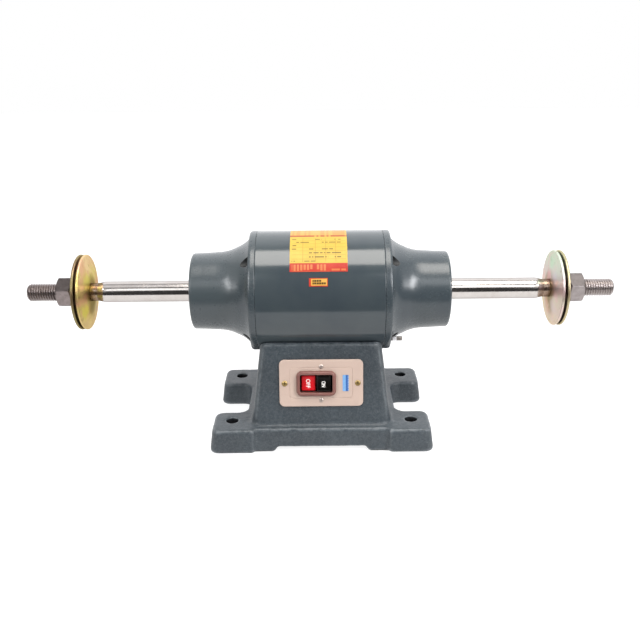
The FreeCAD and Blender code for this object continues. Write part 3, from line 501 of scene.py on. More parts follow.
def chromate(name, stops, hub, tint, shift, rim=None, spots=()):
    """Passivated zinc: a thin layer whose tint drifts down the disc and in patches, with painted shade round and
    below the hub, in the groove between the two rims and on the outer flange's rim."""
    s = Shade(name)
    x, y, z = s.xyz
    off = s.vmath("ADD", s.mm, shift)
    r_ = s.radius_about_spindle()
    n1 = s.noise(0.045, 3.0, 0.55, off, 1.2)
    n2 = s.noise(0.085, 3.0, 0.60, s.vmath("ADD", off, (31.0, 7.0, 50.0)), 1.0)
    n3 = s.noise(0.9, 3.0, 0.7, off)
    up = s.remap(s.math("SUBTRACT", z, AXIS_Z), -34.0, 34.0)
    f = s.math("ADD", up, s.math("MULTIPLY", s.math("SUBTRACT", n1, 0.5), 0.55))
    c = s.ramp(f, stops)
    c = s.mix(s.remap(n2, 0.52, 0.70, 0.0, 0.55, True), c, stops[len(stops) // 2][1])
    c = s.mix(s.remap(n2, 0.42, 0.28, 0.0, 0.50, True), c, stops[-2][1])
    n4 = s.noise(0.14, 3.0, 0.6, s.vmath("ADD", off, (11.0, 23.0, 5.0)))
    c = s.mix(s.remap(n4, 0.56, 0.74, 0.0, 0.55, True), c, stops[3][1])
    c = s.mix(s.remap(n4, 0.44, 0.28, 0.0, 0.45, True), c, hub)
    # painted shade round the hub
    c = s.mix(s.math("MULTIPLY", s.remap(r_, 20.0, 9.0, 0.0, 1.0, True), s.remap(n1, 0.30, 0.55, 0.45, 0.95)), c, hub)
    # painted shadow below the hub
    below_hub_shade = s.vmath("LENGTH", s.combine(0.0, s.math("MULTIPLY", y, 0.8), s.math("SUBTRACT", z, AXIS_Z - 14.5)))
    c = s.mix(s.math("MULTIPLY", s.remap(below_hub_shade, 15.0, 4.0, 0.0, 0.80, True), s.remap(n2, 0.35, 0.55, 0.6, 1.0)), c, hub)
    wander = s.math("MULTIPLY", s.math("SUBTRACT", s.noise(0.13, 3.0, 0.6, off), 0.5), 14.0)
    for dy, dz, size, color, amount in spots:        # where the passivation came out thicker or thinner
        d = s.vmath("LENGTH", s.combine(0.0, s.math("SUBTRACT", y, dy), s.math("SUBTRACT", z, AXIS_Z + dz)))
        c = s.mix(s.remap(s.math("ADD", d, wander), size * 1.35, size * 0.35, 0.0, amount, True), c, lin(*color))
    # painted shade in the groove between the two rims, fainter towards the top
    groove = s.remap(s.math("ABSOLUTE", s.math("SUBTRACT", s.math("ABSOLUTE", x), RIM_MID)), 0.75, 1.7, 0.80, 0.0, True)
    groove = s.math("MULTIPLY", groove, s.remap(s.math("SUBTRACT", z, AXIS_Z), 6.0, 32.0, 1.0, 0.15))
    if rim:                                          # painted shade: the outer flange's rim darker
        c = s.mix(s.math("MULTIPLY", s.math("MULTIPLY", s.remap(r_, 33.0, 34.0), s.math("GREATER_THAN", s.math("ABSOLUTE", x), RIM_MID)), 0.75), c, rim)
    c = s.mix(groove, c, lin(60, 48, 26, 0.4))
    c = s.mix(s.remap(n3, 0.60, 0.80, 0.0, 0.18), c, hub)
    turn = s.noise(1.0, 3.0, 0.7, s.combine(s.math("MULTIPLY", r_, 1.6), s.math("MULTIPLY", x, 1.6), 0.0))
    rough = s.remap(s.math("ADD", s.math("MULTIPLY", n3, 0.4), s.math("MULTIPLY", turn, 0.6)), 0.3, 0.7, 0.34, 0.46)
    h = s.math("ADD", s.math("MULTIPLY", turn, 0.35), s.math("MULTIPLY", s.noise(0.12, 2.0, 0.5, off), 0.8))
    s.b.inputs["Specular Tint"].default_value = tint
    return s.set(c, rough, 1.0, s.bump(h, 0.020, 0.8))


def moulded(name, tone, rough=(0.32, 0.46), grain=2.2, depth=0.012, bevel=None, vary=0.08, spec=0.5, dirt=0.12):
    """Moulded plastic with a fine eroded grain."""
    s = Shade(name)
    n1 = s.noise(0.05, 3.0, 0.6)
    n2 = s.noise(grain, 2.0, 0.6)
    c = s.mix(s.remap(n1, 0.3, 0.7), lin(*tone, 1.0 - vary), lin(*tone, 1.0 + vary))
    smudge = s.remap(s.noise(0.13, 4.0, 0.7), 0.55, 0.75)
    c = s.mix(s.math("MULTIPLY", smudge, dirt), c, lin(tone[0] * 0.8, tone[1] * 0.78, tone[2] * 0.74))
    r = s.math("ADD", s.remap(n2, 0.3, 0.7, rough[0], rough[1]), s.math("MULTIPLY", smudge, 0.08))
    nb = s.bevel(bevel) if bevel else None
    return s.set(c, r, 0.0, s.bump(n2, depth, 0.8, nb), spec=spec)


def rubber(name, tone):
    s = Shade(name)
    n1 = s.noise(0.12, 3.0, 0.6)
    n2 = s.noise(3.0, 2.0, 0.6)
    c = s.mix(s.remap(n1, 0.3, 0.7), lin(*tone, 0.85), lin(*tone, 1.3))
    c = s.mix(s.remap(s.noise(0.5, 4.0, 0.7), 0.58, 0.75, 0.0, 0.3), c, lin(120, 116, 110))
    return s.set(c, s.remap(n2, 0.3, 0.7, 0.55, 0.75), 0.0, s.bump(n2, 0.02, 0.8), spec=0.35)


SLATE = (70, 80, 87)
paint_shell = gloss_paint("slate_enamel_shell", SLATE, 0.12, 0.35)
# the bells take the painted shade in their bolt recesses
paint_bell = gloss_paint("slate_enamel_bell", SLATE, 0.25, 0.40, 0.8, True)
paint_cast = cast_paint("slate_enamel_casting", (66, 76, 84))
ground = turned_steel("ground_steel", (203, 200, 198), (192, 188, 185), (0.09, 0.14), 2.6, 0.0014, 1.0, 0.10, edge=0.55, neck_shade_reflection=(136, 106, 82))
# painted shade: the left thread's copy of the steel darker than the right's
thread_left = turned_steel("thread_steel_left", (138, 128, 126), (116, 107, 105), (0.30, 0.42), 1.2, 0.01, 1.0, 0.4)
thread_right = turned_steel("thread_steel_right", (164, 156, 154), (150, 142, 140), (0.30, 0.40), 1.2, 0.008, 1.0, 0.3)
RIM_MID = FLANGE_X + FLANGE_T + FLANGE_DISH + RIM_GAP / 2
zinc_left = chromate("chromate_left",
                     [(0.05, lin(190, 164, 124)), (0.25, lin(196, 178, 118)), (0.42, lin(176, 158, 96)), (0.56, lin(192, 148, 112)),
                      (0.72, lin(200, 188, 110)), (0.90, lin(218, 194, 152))],
                     lin(112, 96, 52), (0.76, 0.68, 0.52, 1.0), (0.0, 0.0, 0.0), lin(92, 88, 66),
                     ((-14.0, 27.0, 9.0, (206, 150, 128), 0.55), (-24.0, 14.0, 7.0, (208, 156, 130), 0.50), (-10.0, 11.0, 9.0, (198, 190, 96), 0.55),
                      # the second spot on this line, dark olive just below the hub, is painted shadow
                      (-21.0, -12.0, 7.0, (192, 184, 72), 0.60), (-2.0, -13.0, 8.0, (106, 94, 54), 0.72), (15.0, -20.0, 4.5, (150, 128, 132), 0.55),
                      (-6.0, -27.0, 8.0, (204, 184, 128), 0.40)))
zinc_right = chromate("chromate_right",
                      [(0.05, lin(206, 190, 166)), (0.25, lin(202, 186, 178)), (0.42, lin(200, 190, 174)), (0.56, lin(212, 182, 180)),
                       (0.72, lin(200, 194, 192)), (0.90, lin(196, 206, 190))],
                      lin(132, 116, 82), (0.80, 0.76, 0.68, 1.0), (53.0, 17.0, -29.0), lin(170, 158, 112),
                      ((2.0, 24.0, 7.0, (176, 214, 188), 0.50), (3.0, 12.0, 6.0, (226, 168, 180), 0.50), (-12.0, 12.0, 7.0, (190, 188, 200), 0.45),
                       (24.0, -15.0, 8.0, (204, 192, 128), 0.50), (3.0, -17.0, 8.0, (222, 172, 156), 0.45), (-14.0, -14.0, 7.0, (196, 186, 190), 0.40)))
# painted shade: the left nut's copy of the steel darker than the right's
nut_left = rough_steel("nut_steel_left", (94, 86, 85), (114, 106, 105), (0.42, 0.58), 0.85, 0.09, facet_shading=(0.50, 2.0))
nut_right = rough_steel("nut_steel_right", (118, 112, 111), (140, 133, 132), (0.42, 0.56), 0.85, 0.09, facet_shading=(0.56, 1.55))
spring_steel = rough_steel("spring_steel", (96, 90, 88), (120, 112, 108), (0.30, 0.45))
# painted shade: the through-bolt nuts and washers near black as shade in the bell pockets
pocket_shaded_steel = rough_steel("pocket_shaded_metal", (44, 39, 37), (60, 53, 49), (0.38, 0.52), 0.8, 0.03, 0.25)


def bolt_steel():
    """Bolt steel: near black as painted shade where the bolts sit in the bell pockets, bright where a stud sticks out
    of its nut.
    """
    s = Shade("bolt_steel")
    x, y, z = s.xyz
    n1 = s.noise(0.4, 4.0, 0.65)
    n2 = s.noise(1.6, 3.0, 0.7)
    # painted shade: the bolts near black in the bell pockets
    dark = s.mix(s.remap(n1, 0.3, 0.7), lin(44, 39, 37), lin(62, 54, 50))
    bright = s.mix(s.remap(n1, 0.3, 0.7), lin(222, 220, 222), lin(236, 234, 236))
    bright = s.mix(s.remap(x, 68.4, 69.2), bright, s.mix(s.remap(n1, 0.3, 0.7), lin(112, 106, 102), lin(150, 144, 140)))
    end = s.math("MULTIPLY", s.remap(x, 64.6, 65.6), s.remap(z, 110.0, 108.0))
    c = s.mix(end, dark, bright)
    c = s.mix(s.remap(n2, 0.60, 0.78, 0.0, 0.4), c, lin(36, 32, 30))
    return s.set(c, s.remap(n2, 0.3, 0.7, 0.34, 0.5), 0.85, s.bump(s.math("ADD", n1, n2), 0.03, 0.8, s.bevel(0.2)))
zinc_plain = rough_steel("zinc_plain", (190, 190, 188), (165, 166, 168), (0.22, 0.36), 1.0, 0.02, 0.2)
brass = rough_steel("brass_screw", (160, 138, 92), (132, 112, 74), (0.30, 0.42), 1.0, 0.015, 0.2)
screw_steel = rough_steel("screw_steel", (184, 170, 162), (160, 148, 142), (0.34, 0.48), 0.9, 0.015, 0.2)
cream = moulded("cream_plastic", (180, 159, 147), (0.34, 0.46), 1.8, 0.012, None, 0.03)
mauve = moulded("bezel_plastic", (113, 74, 67), (0.30, 0.42), 2.4, 0.012, None, 0.10)
black_shiny = moulded("on_plastic", (7, 5, 4), (0.16, 0.26), 2.0, 0.006, None, 0.1, 0.38, 0.02)
red_shiny = moulded("off_plastic", (199, 23, 32), (0.18, 0.28), 2.0, 0.006, None, 0.05, 0.5, 0.05)
black_plain = moulded("housing_plastic", (34, 34, 35), (0.4, 0.55), 1.6, 0.02)
link_plastic = moulded("link_plastic", (200, 196, 184), (0.4, 0.5), 1.6, 0.02)
white_print = moulded("white_print", (244, 240, 236), (0.4, 0.5), 3.0, 0.004, None, 0.03, 0.4, 0.05)
black_rubber = rubber("black_rubber", (30, 30, 31))
bearing_steel = turned_steel("bearing_steel", (190, 190, 192), (170, 170, 172), (0.1, 0.2), 2.0, 0.003)
cage_steel = turned_steel("cage_steel", (160, 158, 152), (140, 138, 132), (0.25, 0.4), 1.2, 0.01)
rotor_alu = rough_steel("rotor_aluminium", (190, 192, 194), (170, 172, 174), (0.4, 0.55), 0.9, 0.06, 0.3)
lead_black = moulded("lead_insulation", (40, 38, 40), (0.4, 0.5), 1.0, 0.01)


def laminated(name):
    s = Shade(name)
    x, y, z = s.xyz
    sheets = s.math("PINGPONG", x, 0.25)
    n = s.noise(0.2, 3.0, 0.6)
    c = s.mix(s.remap(sheets, 0.0, 0.25), lin(92, 92, 96), lin(140, 140, 144))
    c = s.mix(s.remap(n, 0.5, 0.7, 0.0, 0.4), c, lin(110, 84, 66))
    return s.set(c, s.remap(n, 0.3, 0.7, 0.35, 0.5), 0.9, s.bump(sheets, 0.05, 0.6))


def wound(name):
    s = Shade(name)
    wires = s.noise(0.9, 2.0, 0.5, s.combine(s.radius_about_spindle(), s.xyz[0], 0.0), 0.6)
    n = s.noise(0.15, 3.0, 0.6)
    c = s.ramp(wires, [(0.35, lin(120, 58, 34)), (0.55, lin(190, 108, 66)), (0.7, lin(222, 150, 104))])
    return s.set(c, s.remap(n, 0.3, 0.7, 0.25, 0.4), 0.8, s.bump(wires, 0.25, 0.8))


lamination, copper = laminated("lamination"), wound("wound_copper")


def rating_sheet():
    """Rating label: pale strip, a red line of print, a yellow field ruled in a grid with bars of print, a red foot."""
    s = Shade("rating_sheet")
    x, y, z = s.xyz
    k = 0.53
    u = s.math("ADD", x, 26.4)                                   # 0..50.3 mm across
    a = s.angle_about_spindle()                                  # 34.1..97.5 degrees up
    t = s.math("MULTIPLY", s.math("SUBTRACT", a, 34.1), (SHELL_R + 0.1) * math.pi / 180.0)   # 0..61 mm up
    n = s.noise(0.06, 3.0, 0.6)
    n_fine = s.noise(1.4, 2.0, 0.6)
    yellow = s.mix(s.remap(n, 0.3, 0.7), lin(236, 198, 76, k), lin(242, 208, 90, k))
    yellow = s.mix(s.remap(n_fine, 0.55, 0.75, 0.0, 0.25), yellow, lin(224, 184, 88, k))

    def both(*v):
        out = v[0]
        for w in v[1:]:
            out = s.math("MULTIPLY", out, w)
        return out

    def span(v, lo, hi, soft=0.15):
        return both(s.remap(v, lo, lo + soft), s.remap(v, hi, hi - soft))

    def rule(v, at, half):
        d = s.math("ABSOLUTE", s.math("SUBTRACT", v, at))
        return s.remap(d, half * 0.6, half * 1.2, 1.0, 0.0)

    inside = span(u, 1.6, 48.9)
    grid = None
    for at in (12.2, 16.6, 21.0, 25.4, 29.8, 34.2, 38.6):
        g = rule(t, at, 0.22)
        grid = g if grid is None else s.math("MAXIMUM", grid, g)
    for at in (11.4, 22.4, 31.4, 40.2):
        g = both(rule(u, at, 0.26), span(t, 9.6, 38.8))
        grid = s.math("MAXIMUM", grid, g)
    c = s.mix(s.math("MULTIPLY", both(grid, inside), 0.55), yellow, lin(170, 132, 56, k))
    # bars that read as lines of print, one row to each rule
    tr = s.math("DIVIDE", s.math("SUBTRACT", t, 7.8), 4.4)
    row = s.math("FLOOR", tr)
    frac = s.math("FRACT", tr)
    word = s.white(s.combine(s.math("FLOOR", s.math("DIVIDE", u, 5.6)), row, 3.0))
    letter = s.white(s.combine(s.math("FLOOR", s.math("DIVIDE", u, 1.15)), row, 0.0))
    bars = both(span(frac, 0.30, 0.64, 0.06), s.math("GREATER_THAN", word, 0.52), s.math("GREATER_THAN", letter, 0.22), span(t, 9.6, 39.4), inside)
    c = s.mix(s.math("MULTIPLY", bars, 0.85), c, lin(104, 80, 34, k))
    # red foot: paler blocks on the left, plain with a pale line under it on the right
    red = s.mix(s.remap(n, 0.3, 0.7), lin(214, 60, 46, k), lin(226, 76, 54, k))
    block = s.white(s.combine(s.math("FLOOR", s.math("DIVIDE", u, 2.9)), 7.0, 1.0))
    bf = s.math("FRACT", s.math("DIVIDE", u, 2.9))
    low = s.math("ADD", 0.8, s.math("MULTIPLY", s.white(s.combine(s.math("FLOOR", s.math("DIVIDE", u, 2.9)), 2.0, 4.0)), 1.8))
    pale = both(s.remap(bf, 0.10, 0.24), s.remap(bf, 0.90, 0.76), s.math("GREATER_THAN", block, 0.30), s.math("GREATER_THAN", t, low), s.remap(t, 7.0, 6.6), span(u, 1.8, 35.0))
    red = s.mix(s.math("MULTIPLY", pale, 0.85), red, lin(244, 150, 92, k))
    tail = both(span(u, 35.0, 48.6), span(t, 0.8, 2.9, 0.3), s.remap(s.white(s.combine(s.math("FLOOR", s.math("DIVIDE", u, 1.4)), 1.0, 9.0)), 0.2, 0.3))
    red = s.mix(s.math("MULTIPLY", tail, 0.8), red, lin(244, 140, 78, k))
    left_tail = both(span(u, 1.8, 35.0), span(t, 0.0, 0.9, 0.3))
    red = s.mix(s.math("MULTIPLY", left_tail, 0.4), red, lin(240, 120, 70, k))
    c = s.mix(s.remap(t, 8.3, 7.9), c, red)
    # the red line of print near the top and the strip over it
    strip = s.remap(a, 79.2, 80.0)
    marks = s.white(s.combine(s.math("FLOOR", s.math("DIVIDE", u, 1.8)), 5.0, 8.0))
    c = s.mix(strip, c, s.mix(s.math("MULTIPLY", s.math("GREATER_THAN", marks, 0.5), 0.35), lin(238, 186, 92, k), lin(206, 120, 60, k)))
    line = both(s.remap(a, 76.4, 77.0), s.remap(a, 79.9, 79.3), s.remap(marks, 0.10, 0.22, 0.35, 1.0))
    c = s.mix(s.math("MULTIPLY", line, 0.9), c, lin(186, 52, 36, k))
    r = s.remap(n_fine, 0.3, 0.7, 0.34, 0.46)
    return s.set(c, r, 0.0, s.bump(s.math("ADD", s.math("MULTIPLY", n_fine, 0.3), s.math("MULTIPLY", bars, 0.2)), 0.006, 0.6), spec=0.25)


def notice_sheet():
    """Small notice: red border at its left and ends, amber field, heavy dark bars."""
    s = Shade("notice_sheet")
    x, y, z = s.xyz
    k = 0.60
    u = s.math("ADD", x, 9.7)                                    # 0..16.2
    a = s.angle_about_spindle()
    t = s.math("MULTIPLY", s.math("SUBTRACT", a, 20.7), (SHELL_R + 0.1) * math.pi / 180.0)    # 0..7.2
    n = s.noise(0.3, 3.0, 0.6)
    amber = s.mix(s.remap(n, 0.3, 0.7), lin(240, 176, 74, k), lin(248, 196, 96, k))
    edge = s.math("MAXIMUM", s.remap(u, 1.9, 1.6), s.math("MAXIMUM", s.remap(t, 0.8, 0.6), s.math("MAXIMUM", s.remap(t, 6.5, 6.7), s.remap(u, 15.5, 15.7))))
    c = s.mix(edge, amber, lin(216, 64, 44, k))
    q = s.math("DIVIDE", s.math("SUBTRACT", t, 1.5), 2.2)
    row = s.math("FLOOR", q)
    frac = s.math("FRACT", q)
    line = s.math("MULTIPLY", s.remap(frac, 0.08, 0.16), s.remap(frac, 0.94, 0.86))
    letter = s.white(s.combine(s.math("FLOOR", s.math("DIVIDE", u, 2.1)), row, 5.0))
    gap = s.remap(s.math("FRACT", s.math("DIVIDE", u, 2.1)), 0.10, 0.20)
    span = s.math("MULTIPLY", s.math("MULTIPLY", s.remap(u, 2.9, 3.1), s.remap(u, 14.6, 14.4)), s.math("MULTIPLY", s.remap(t, 1.5, 1.6), s.remap(t, 5.9, 5.8)))
    bars = s.math("MULTIPLY", s.math("MULTIPLY", line, gap), s.math("MULTIPLY", span, s.math("GREATER_THAN", letter, 0.10)))
    c = s.mix(s.math("MULTIPLY", bars, 0.95), c, lin(30, 30, 16, k))
    return s.set(c, s.remap(n, 0.3, 0.7, 0.34, 0.46), 0.0, s.bump(n, 0.006, 0.6), spec=0.25)


def two_tone_sheet():
    """Switch label: a light stripe and a dark one."""
    s = Shade("two_tone_sheet")
    x, y, z = s.xyz
    n = s.noise(0.5, 3.0, 0.6)
    light = s.mix(s.remap(n, 0.3, 0.7), lin(112, 158, 208, 0.85), lin(126, 170, 216, 0.85))
    dark = s.mix(s.remap(n, 0.3, 0.7), lin(54, 92, 156, 0.85), lin(66, 106, 170, 0.85))
    c = s.mix(s.remap(x, 21.9, 22.1), light, dark)
    c = s.mix(s.remap(x, 23.7, 23.9), c, light)
    rows = s.math("MULTIPLY", s.math("GREATER_THAN", s.math("FRACT", s.math("DIVIDE", z, 2.3)), 0.55), s.remap(x, 23.3, 23.5))
    c = s.mix(s.math("MULTIPLY", rows, 0.50), c, dark)
    return s.set(c, s.remap(n, 0.3, 0.7, 0.34, 0.44), 0.0, s.bump(n, 0.006, 0.6), spec=0.3)


# ==== pieces ======================================================================================
def casting():
    """The pedestal: the casting's true shape, with the soft edges and the uneven skin of sand-cast iron."""
    src = NODES["pedestal_casting"]
    tmp = bpy.data.objects.new("casting_tmp", src.data.copy())
    SCENE.collection.objects.link(tmp)
    mod = tmp.modifiers.new("remesh", "REMESH")
    mod.mode = "VOXEL"
    mod.voxel_size = 0.00125
    sm = tmp.modifiers.new("smooth", "SMOOTH")
    sm.factor = 0.5
    sm.iterations = 7
    dg = bpy.context.evaluated_depsgraph_get()
    me = bpy.data.meshes.new_from_object(tmp.evaluated_get(dg))
    bpy.data.objects.remove(tmp)
    me.name = "pedestal"
    n = len(me.vertices)
    co = np.zeros(n * 3)
    me.vertices.foreach_get("co", co)
    co = co.reshape(-1, 3)
    no = np.zeros(n * 3)
    me.vertices.foreach_get("normal", no)
    no = no.reshape(-1, 3)
    lo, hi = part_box("pedestal_casting")
    h = np.zeros(n)
    for i in range(n):
        p = Vector(co[i]) * 1000.0
        h[i] = 0.16 * noise.noise(p * 0.07) + 0.10 * noise.noise(p * 0.19 + Vector((7, 3, 1))) + 0.055 * noise.noise(p * 0.46)
    h = np.clip(h - 0.06, -0.3, 0.12) * MM
    h[co[:, 2] < 0.0009] = 0.0
    co = co + no * h[:, None]
    co = np.clip(co, np.array(lo), np.array(hi))
    me.vertices.foreach_set("co", co.ravel())
    me.polygons.foreach_set("use_smooth", [True] * len(me.polygons))
    me.update()
    ob = bpy.data.objects.new("pedestal", me)
    SCENE.collection.objects.link(ob)
    return ob


pedestal = piece(casting(), [paint_cast], "base", ["pedestal_casting"])


def thread(phase):
    """Depth share of a 60 degree thread, 1 at the crest and 0 at the root, over one pitch."""
    f = abs((phase % 1.0) - 0.5) * 2.0            # 0 at the valley, 1 at the crest
    return max(0.0, min(1.0, (f - 0.12) / 0.68))


def spindle_mesh():
    """The spindle: ground shafts with a soft step, a cut thread on each end (left-hand on the left), centre-drilled ends."""
    seg = 72
    half = [(0.0, 12.0), (58.0, 12.0), (59.0, 11.5), (96.4, 11.5), (96.5, 9.98), (111.4, 9.98), (112.3, SHAFT_R), (113.5, SHAFT_R)]
    half += [(x, SHAFT_R) for x in (125.0, 145.0, 165.0, 185.0, 196.0)]
    for k in range(11):                            # a soft shoulder where the shaft steps down
        f = k / 10.0
        half.append((198.6 + 7.6 * f, SHAFT_R - (SHAFT_R - NECK_R) * (f * f * (3 - 2 * f))))
    half += [(209.0, NECK_R), (211.7, NECK_R), (212.4, 8.2), (212.8, THREAD_R), (226.0, THREAD_R)]
    xs = np.arange(226.1, TIP_X - 0.001, 0.111)
    rows = [(x, r, False) for x, r in half] + [(float(x), None, True) for x in xs] + [(TIP_X, None, True)]
    full = [(-x, r, t) for x, r, t in reversed(rows[1:])] + rows
    verts, faces, mats = [], [], []
    for x, r, cut in full:
        ax = abs(x)
        for k in range(seg):
            a = 2 * math.pi * k / seg
            if cut:
                turn = k / seg * (-1.0 if x > 0 else 1.0)
                d = thread(ax / PITCH - (turn if x > 0 else turn))
                run_in = min(1.0, max(0.0, (ax - 226.1) / 2.0))
                rad = THREAD_R - 1.10 * (1.0 - d) * run_in
                # tip chamfer, a little rounded
                rad = min(rad, THREAD_R - 1.7 * max(0.0, (ax - TIP_X + 2.0) / 2.0) ** 1.15)
            else:
                rad = r
            verts.append((x * MM, rad * math.sin(a) * MM, (AXIS_Z + rad * math.cos(a)) * MM))
    rows_n = len(full)
    for i in range(rows_n - 1):
        m = 0
        if abs(full[i][0]) > 226.05 and abs(full[i + 1][0]) > 226.05:
            m = 1 if full[i][0] < 0 else 2
        for k in range(seg):
            j = (k + 1) % seg
            faces.append((i * seg + k, i * seg + j, (i + 1) * seg + j, (i + 1) * seg + k))
            mats.append(m)
    # centre-drilled ends
    for end, sx in ((0, -1), (rows_n - 1, 1)):
        prev = end * seg
        for x, r in ((TIP_X, 3.0), (TIP_X - 1.9, 1.25), (TIP_X - 4.2, 1.2)):
            base = len(verts)
            for k in range(seg):
                a = 2 * math.pi * k / seg
                verts.append((sx * x * MM, r * math.sin(a) * MM, (AXIS_Z + r * math.cos(a)) * MM))
            for k in range(seg):
                j = (k + 1) % seg
                faces.append((prev + k, prev + j, base + j, base + k))
                mats.append(1 if sx < 0 else 2)
            prev = base
        c = len(verts)
        verts.append((sx * (TIP_X - 4.8) * MM, 0.0, AXIS_Z * MM))
        for k in range(seg):
            faces.append((c, prev + k, prev + (k + 1) % seg))
            mats.append(1 if sx < 0 else 2)
    ob = add_object("spindle_turned", verts, faces, mats, 50.0)
    fix_normals(ob)
    ob.data.set_sharp_from_angle(angle=math.radians(38))
    return ob


spindle = piece(spindle_mesh(), [ground, thread_left, thread_right], "spindle_body", ["spindle"])


def flange(name, rim, sense, sx):
    """A clamping flange pressed from sheet: rolled edge, shallow dome, flat hub. rim is the contact plane of its edge."""
    t, d = FLANGE_T, FLANGE_DISH

    def X(v):
        return rim + sense * v

    pts = [(X(0.0), 31.2), (X(0.0), FLANGE_R), (X(t), FLANGE_R), (X(t + 0.12), 31.8), (X(t + 0.9), 27.2), (X(t + 1.9), 21.0),
           (X(t + 2.75), 15.8), (X(t + d), 12.6), (X(t + d), 8.25), (X(d), 8.25), (X(d), 14.6), (X(2.1), 19.0), (X(0.9), 25.0), (X(0.15), 29.0)]
    rad = [0.0, 1.25, 1.25, 6.0, 8.0, 8.0, 6.0, 2.0, 0.35, 0.35, 3.0, 6.0, 6.0, 0.0]
    # close the ring at its starting point, then round every corner
    line = round_outline([Vector((0, 0)) + Vector(p) for p in pts], rad, 6)
    out = [(sx * p.x, p.y) for p in line]
    ob = revolve(name, out, 160, True, None, 40.0)
    fix_normals(ob)
    ob.data.set_sharp_from_angle(angle=math.radians(40))
    return ob


RIM0 = FLANGE_X + FLANGE_T + FLANGE_DISH
for side, sx, mat in (("left", -1, zinc_left), ("right", 1, zinc_right)):
    piece(flange(side + "_inner_dish", RIM0, -1, sx), [mat], "spindle_body", [side + "_inner_flange"])
    piece(flange(side + "_outer_dish", RIM0 + RIM_GAP, 1, sx), [mat], side + "_clamp_body", [side + "_outer_flange"])


def nut(name, sx):
    """Hex nut: chamfered both faces, rounded corners, countersunk bore."""
    seg = 216
    x0, x1 = NUT_X0, NUT_X1
    R = NUT_AF / math.sqrt(3)
    turn = -8.3

    def outer(x, a):
        q = (math.degrees(a) - turn) % 60.0 - 30.0
        flat = (NUT_AF / 2) / math.cos(math.radians(q))
        flat = min(flat, R - 0.22)
        e = min(x - x0, x1 - x)
        cone = NUT_AF / 2 - 0.15 + e * 1.62
        k = 0.22                                     # smooth minimum
        hh = max(k - abs(flat - cone), 0.0) / k
        return min(flat, cone) - hh * hh * k * 0.25

    xs = [x0, x0 + 0.08, x0 + 0.2, x0 + 0.35, x0 + 0.5, x0 + 0.65, x0 + 0.8, x0 + 0.95, x0 + 1.1, x0 + 1.25, x0 + 1.45, x0 + 1.7, x0 + 2.2, x0 + 3.2]
    xs = xs + [(x0 + x1) / 2] + [x0 + x1 - v for v in reversed(xs)]
    verts, faces = [], []

    def ring(f):
        for k in range(seg):
            a = 2 * math.pi * k / seg
            x, r = f(a)
            verts.append((sx * x * MM, r * math.sin(a) * MM, (AXIS_Z + r * math.cos(a)) * MM))

    for x in xs:
        ring(lambda a, x=x: (x, outer(x, a)))
    for x, r in ((x1, 10.6), (x1, 9.3), (x1 - 0.15, 9.12), (x1 - 1.1, 8.1), (x1 - 1.3, 8.03), (x0 + 1.3, 8.03), (x0 + 1.1, 8.1), (x0 + 0.15, 9.12), (x0, 9.3), (x0, 10.6)):
        ring(lambda a, x=x, r=r: (x, r))
    n = len(verts) // seg
    for i in range(n):
        j = (i + 1) % n
        for k in range(seg):
            m = (k + 1) % seg
            faces.append((i * seg + k, i * seg + m, j * seg + m, j * seg + k))
    ob = add_object(name, verts, faces, None, 30.0)
    fix_normals(ob)
    ob.data.set_sharp_from_angle(angle=math.radians(30))
    return ob


piece(nut("left_hex_nut", -1), [nut_left], "left_nut_body", ["left_nut"])
piece(nut("right_hex_nut", 1), [nut_right], "right_nut_body", ["right_nut"])


# ---- switch plate, bezel and buttons -------------------------------------------------------------
def plate_mesh():
    w, h, r, t = PLATE_W, PLATE_H, PLATE_R, PLATE_T
    px, py, pw, ph = -0.2, 0.2, 56.2, 27.6           # the pressed panel line
    win = (31.0, 18.4, 1.5)
    rings = [(rr(w - 1.0, h - 1.0, r - 0.5), 0.0), (rr(w - 0.1, h - 0.1, r), 0.0), (rr(w, h, r), 0.12), (rr(w, h, r), t - 0.85)]
    for k in range(1, 6):
        a = math.radians(18.0 * k)
        q = 0.85 * (1 - math.cos(a))
        rings.append((rr(w - 2 * q, h - 2 * q, r - q), t - 0.85 + 0.85 * math.sin(a)))
    rings += [(rr(w - 4.0, h - 4.0, r - 1.6), t), (rr(pw + 2.0, ph + 2.0, 3.2, px, py), t), (rr(pw + 0.9, ph + 0.9, 2.8, px, py), t),
              (rr(pw + 0.45, ph + 0.45, 2.6, px, py), t - 0.30), (rr(pw, ph, 2.4, px, py), t - 0.32), (rr(pw - 0.5, ph - 0.5, 2.2, px, py), t - 0.05),
              (rr(pw - 1.2, ph - 1.2, 2.0, px, py), t), (rr(39.6, 24.4, 4.0, BX, BY), t), (rr(win[0] + 0.4, win[1] + 0.4, win[2], BX, BY), t),
              (rr(win[0], win[1], win[2], BX, BY), t - 0.2), (rr(win[0], win[1], win[2], BX, BY), 0.0)]
    return loops("switch_plate_moulded", rings, closed=True)


piece(plate_mesh(), [cream], "base", ["switch_plate"])


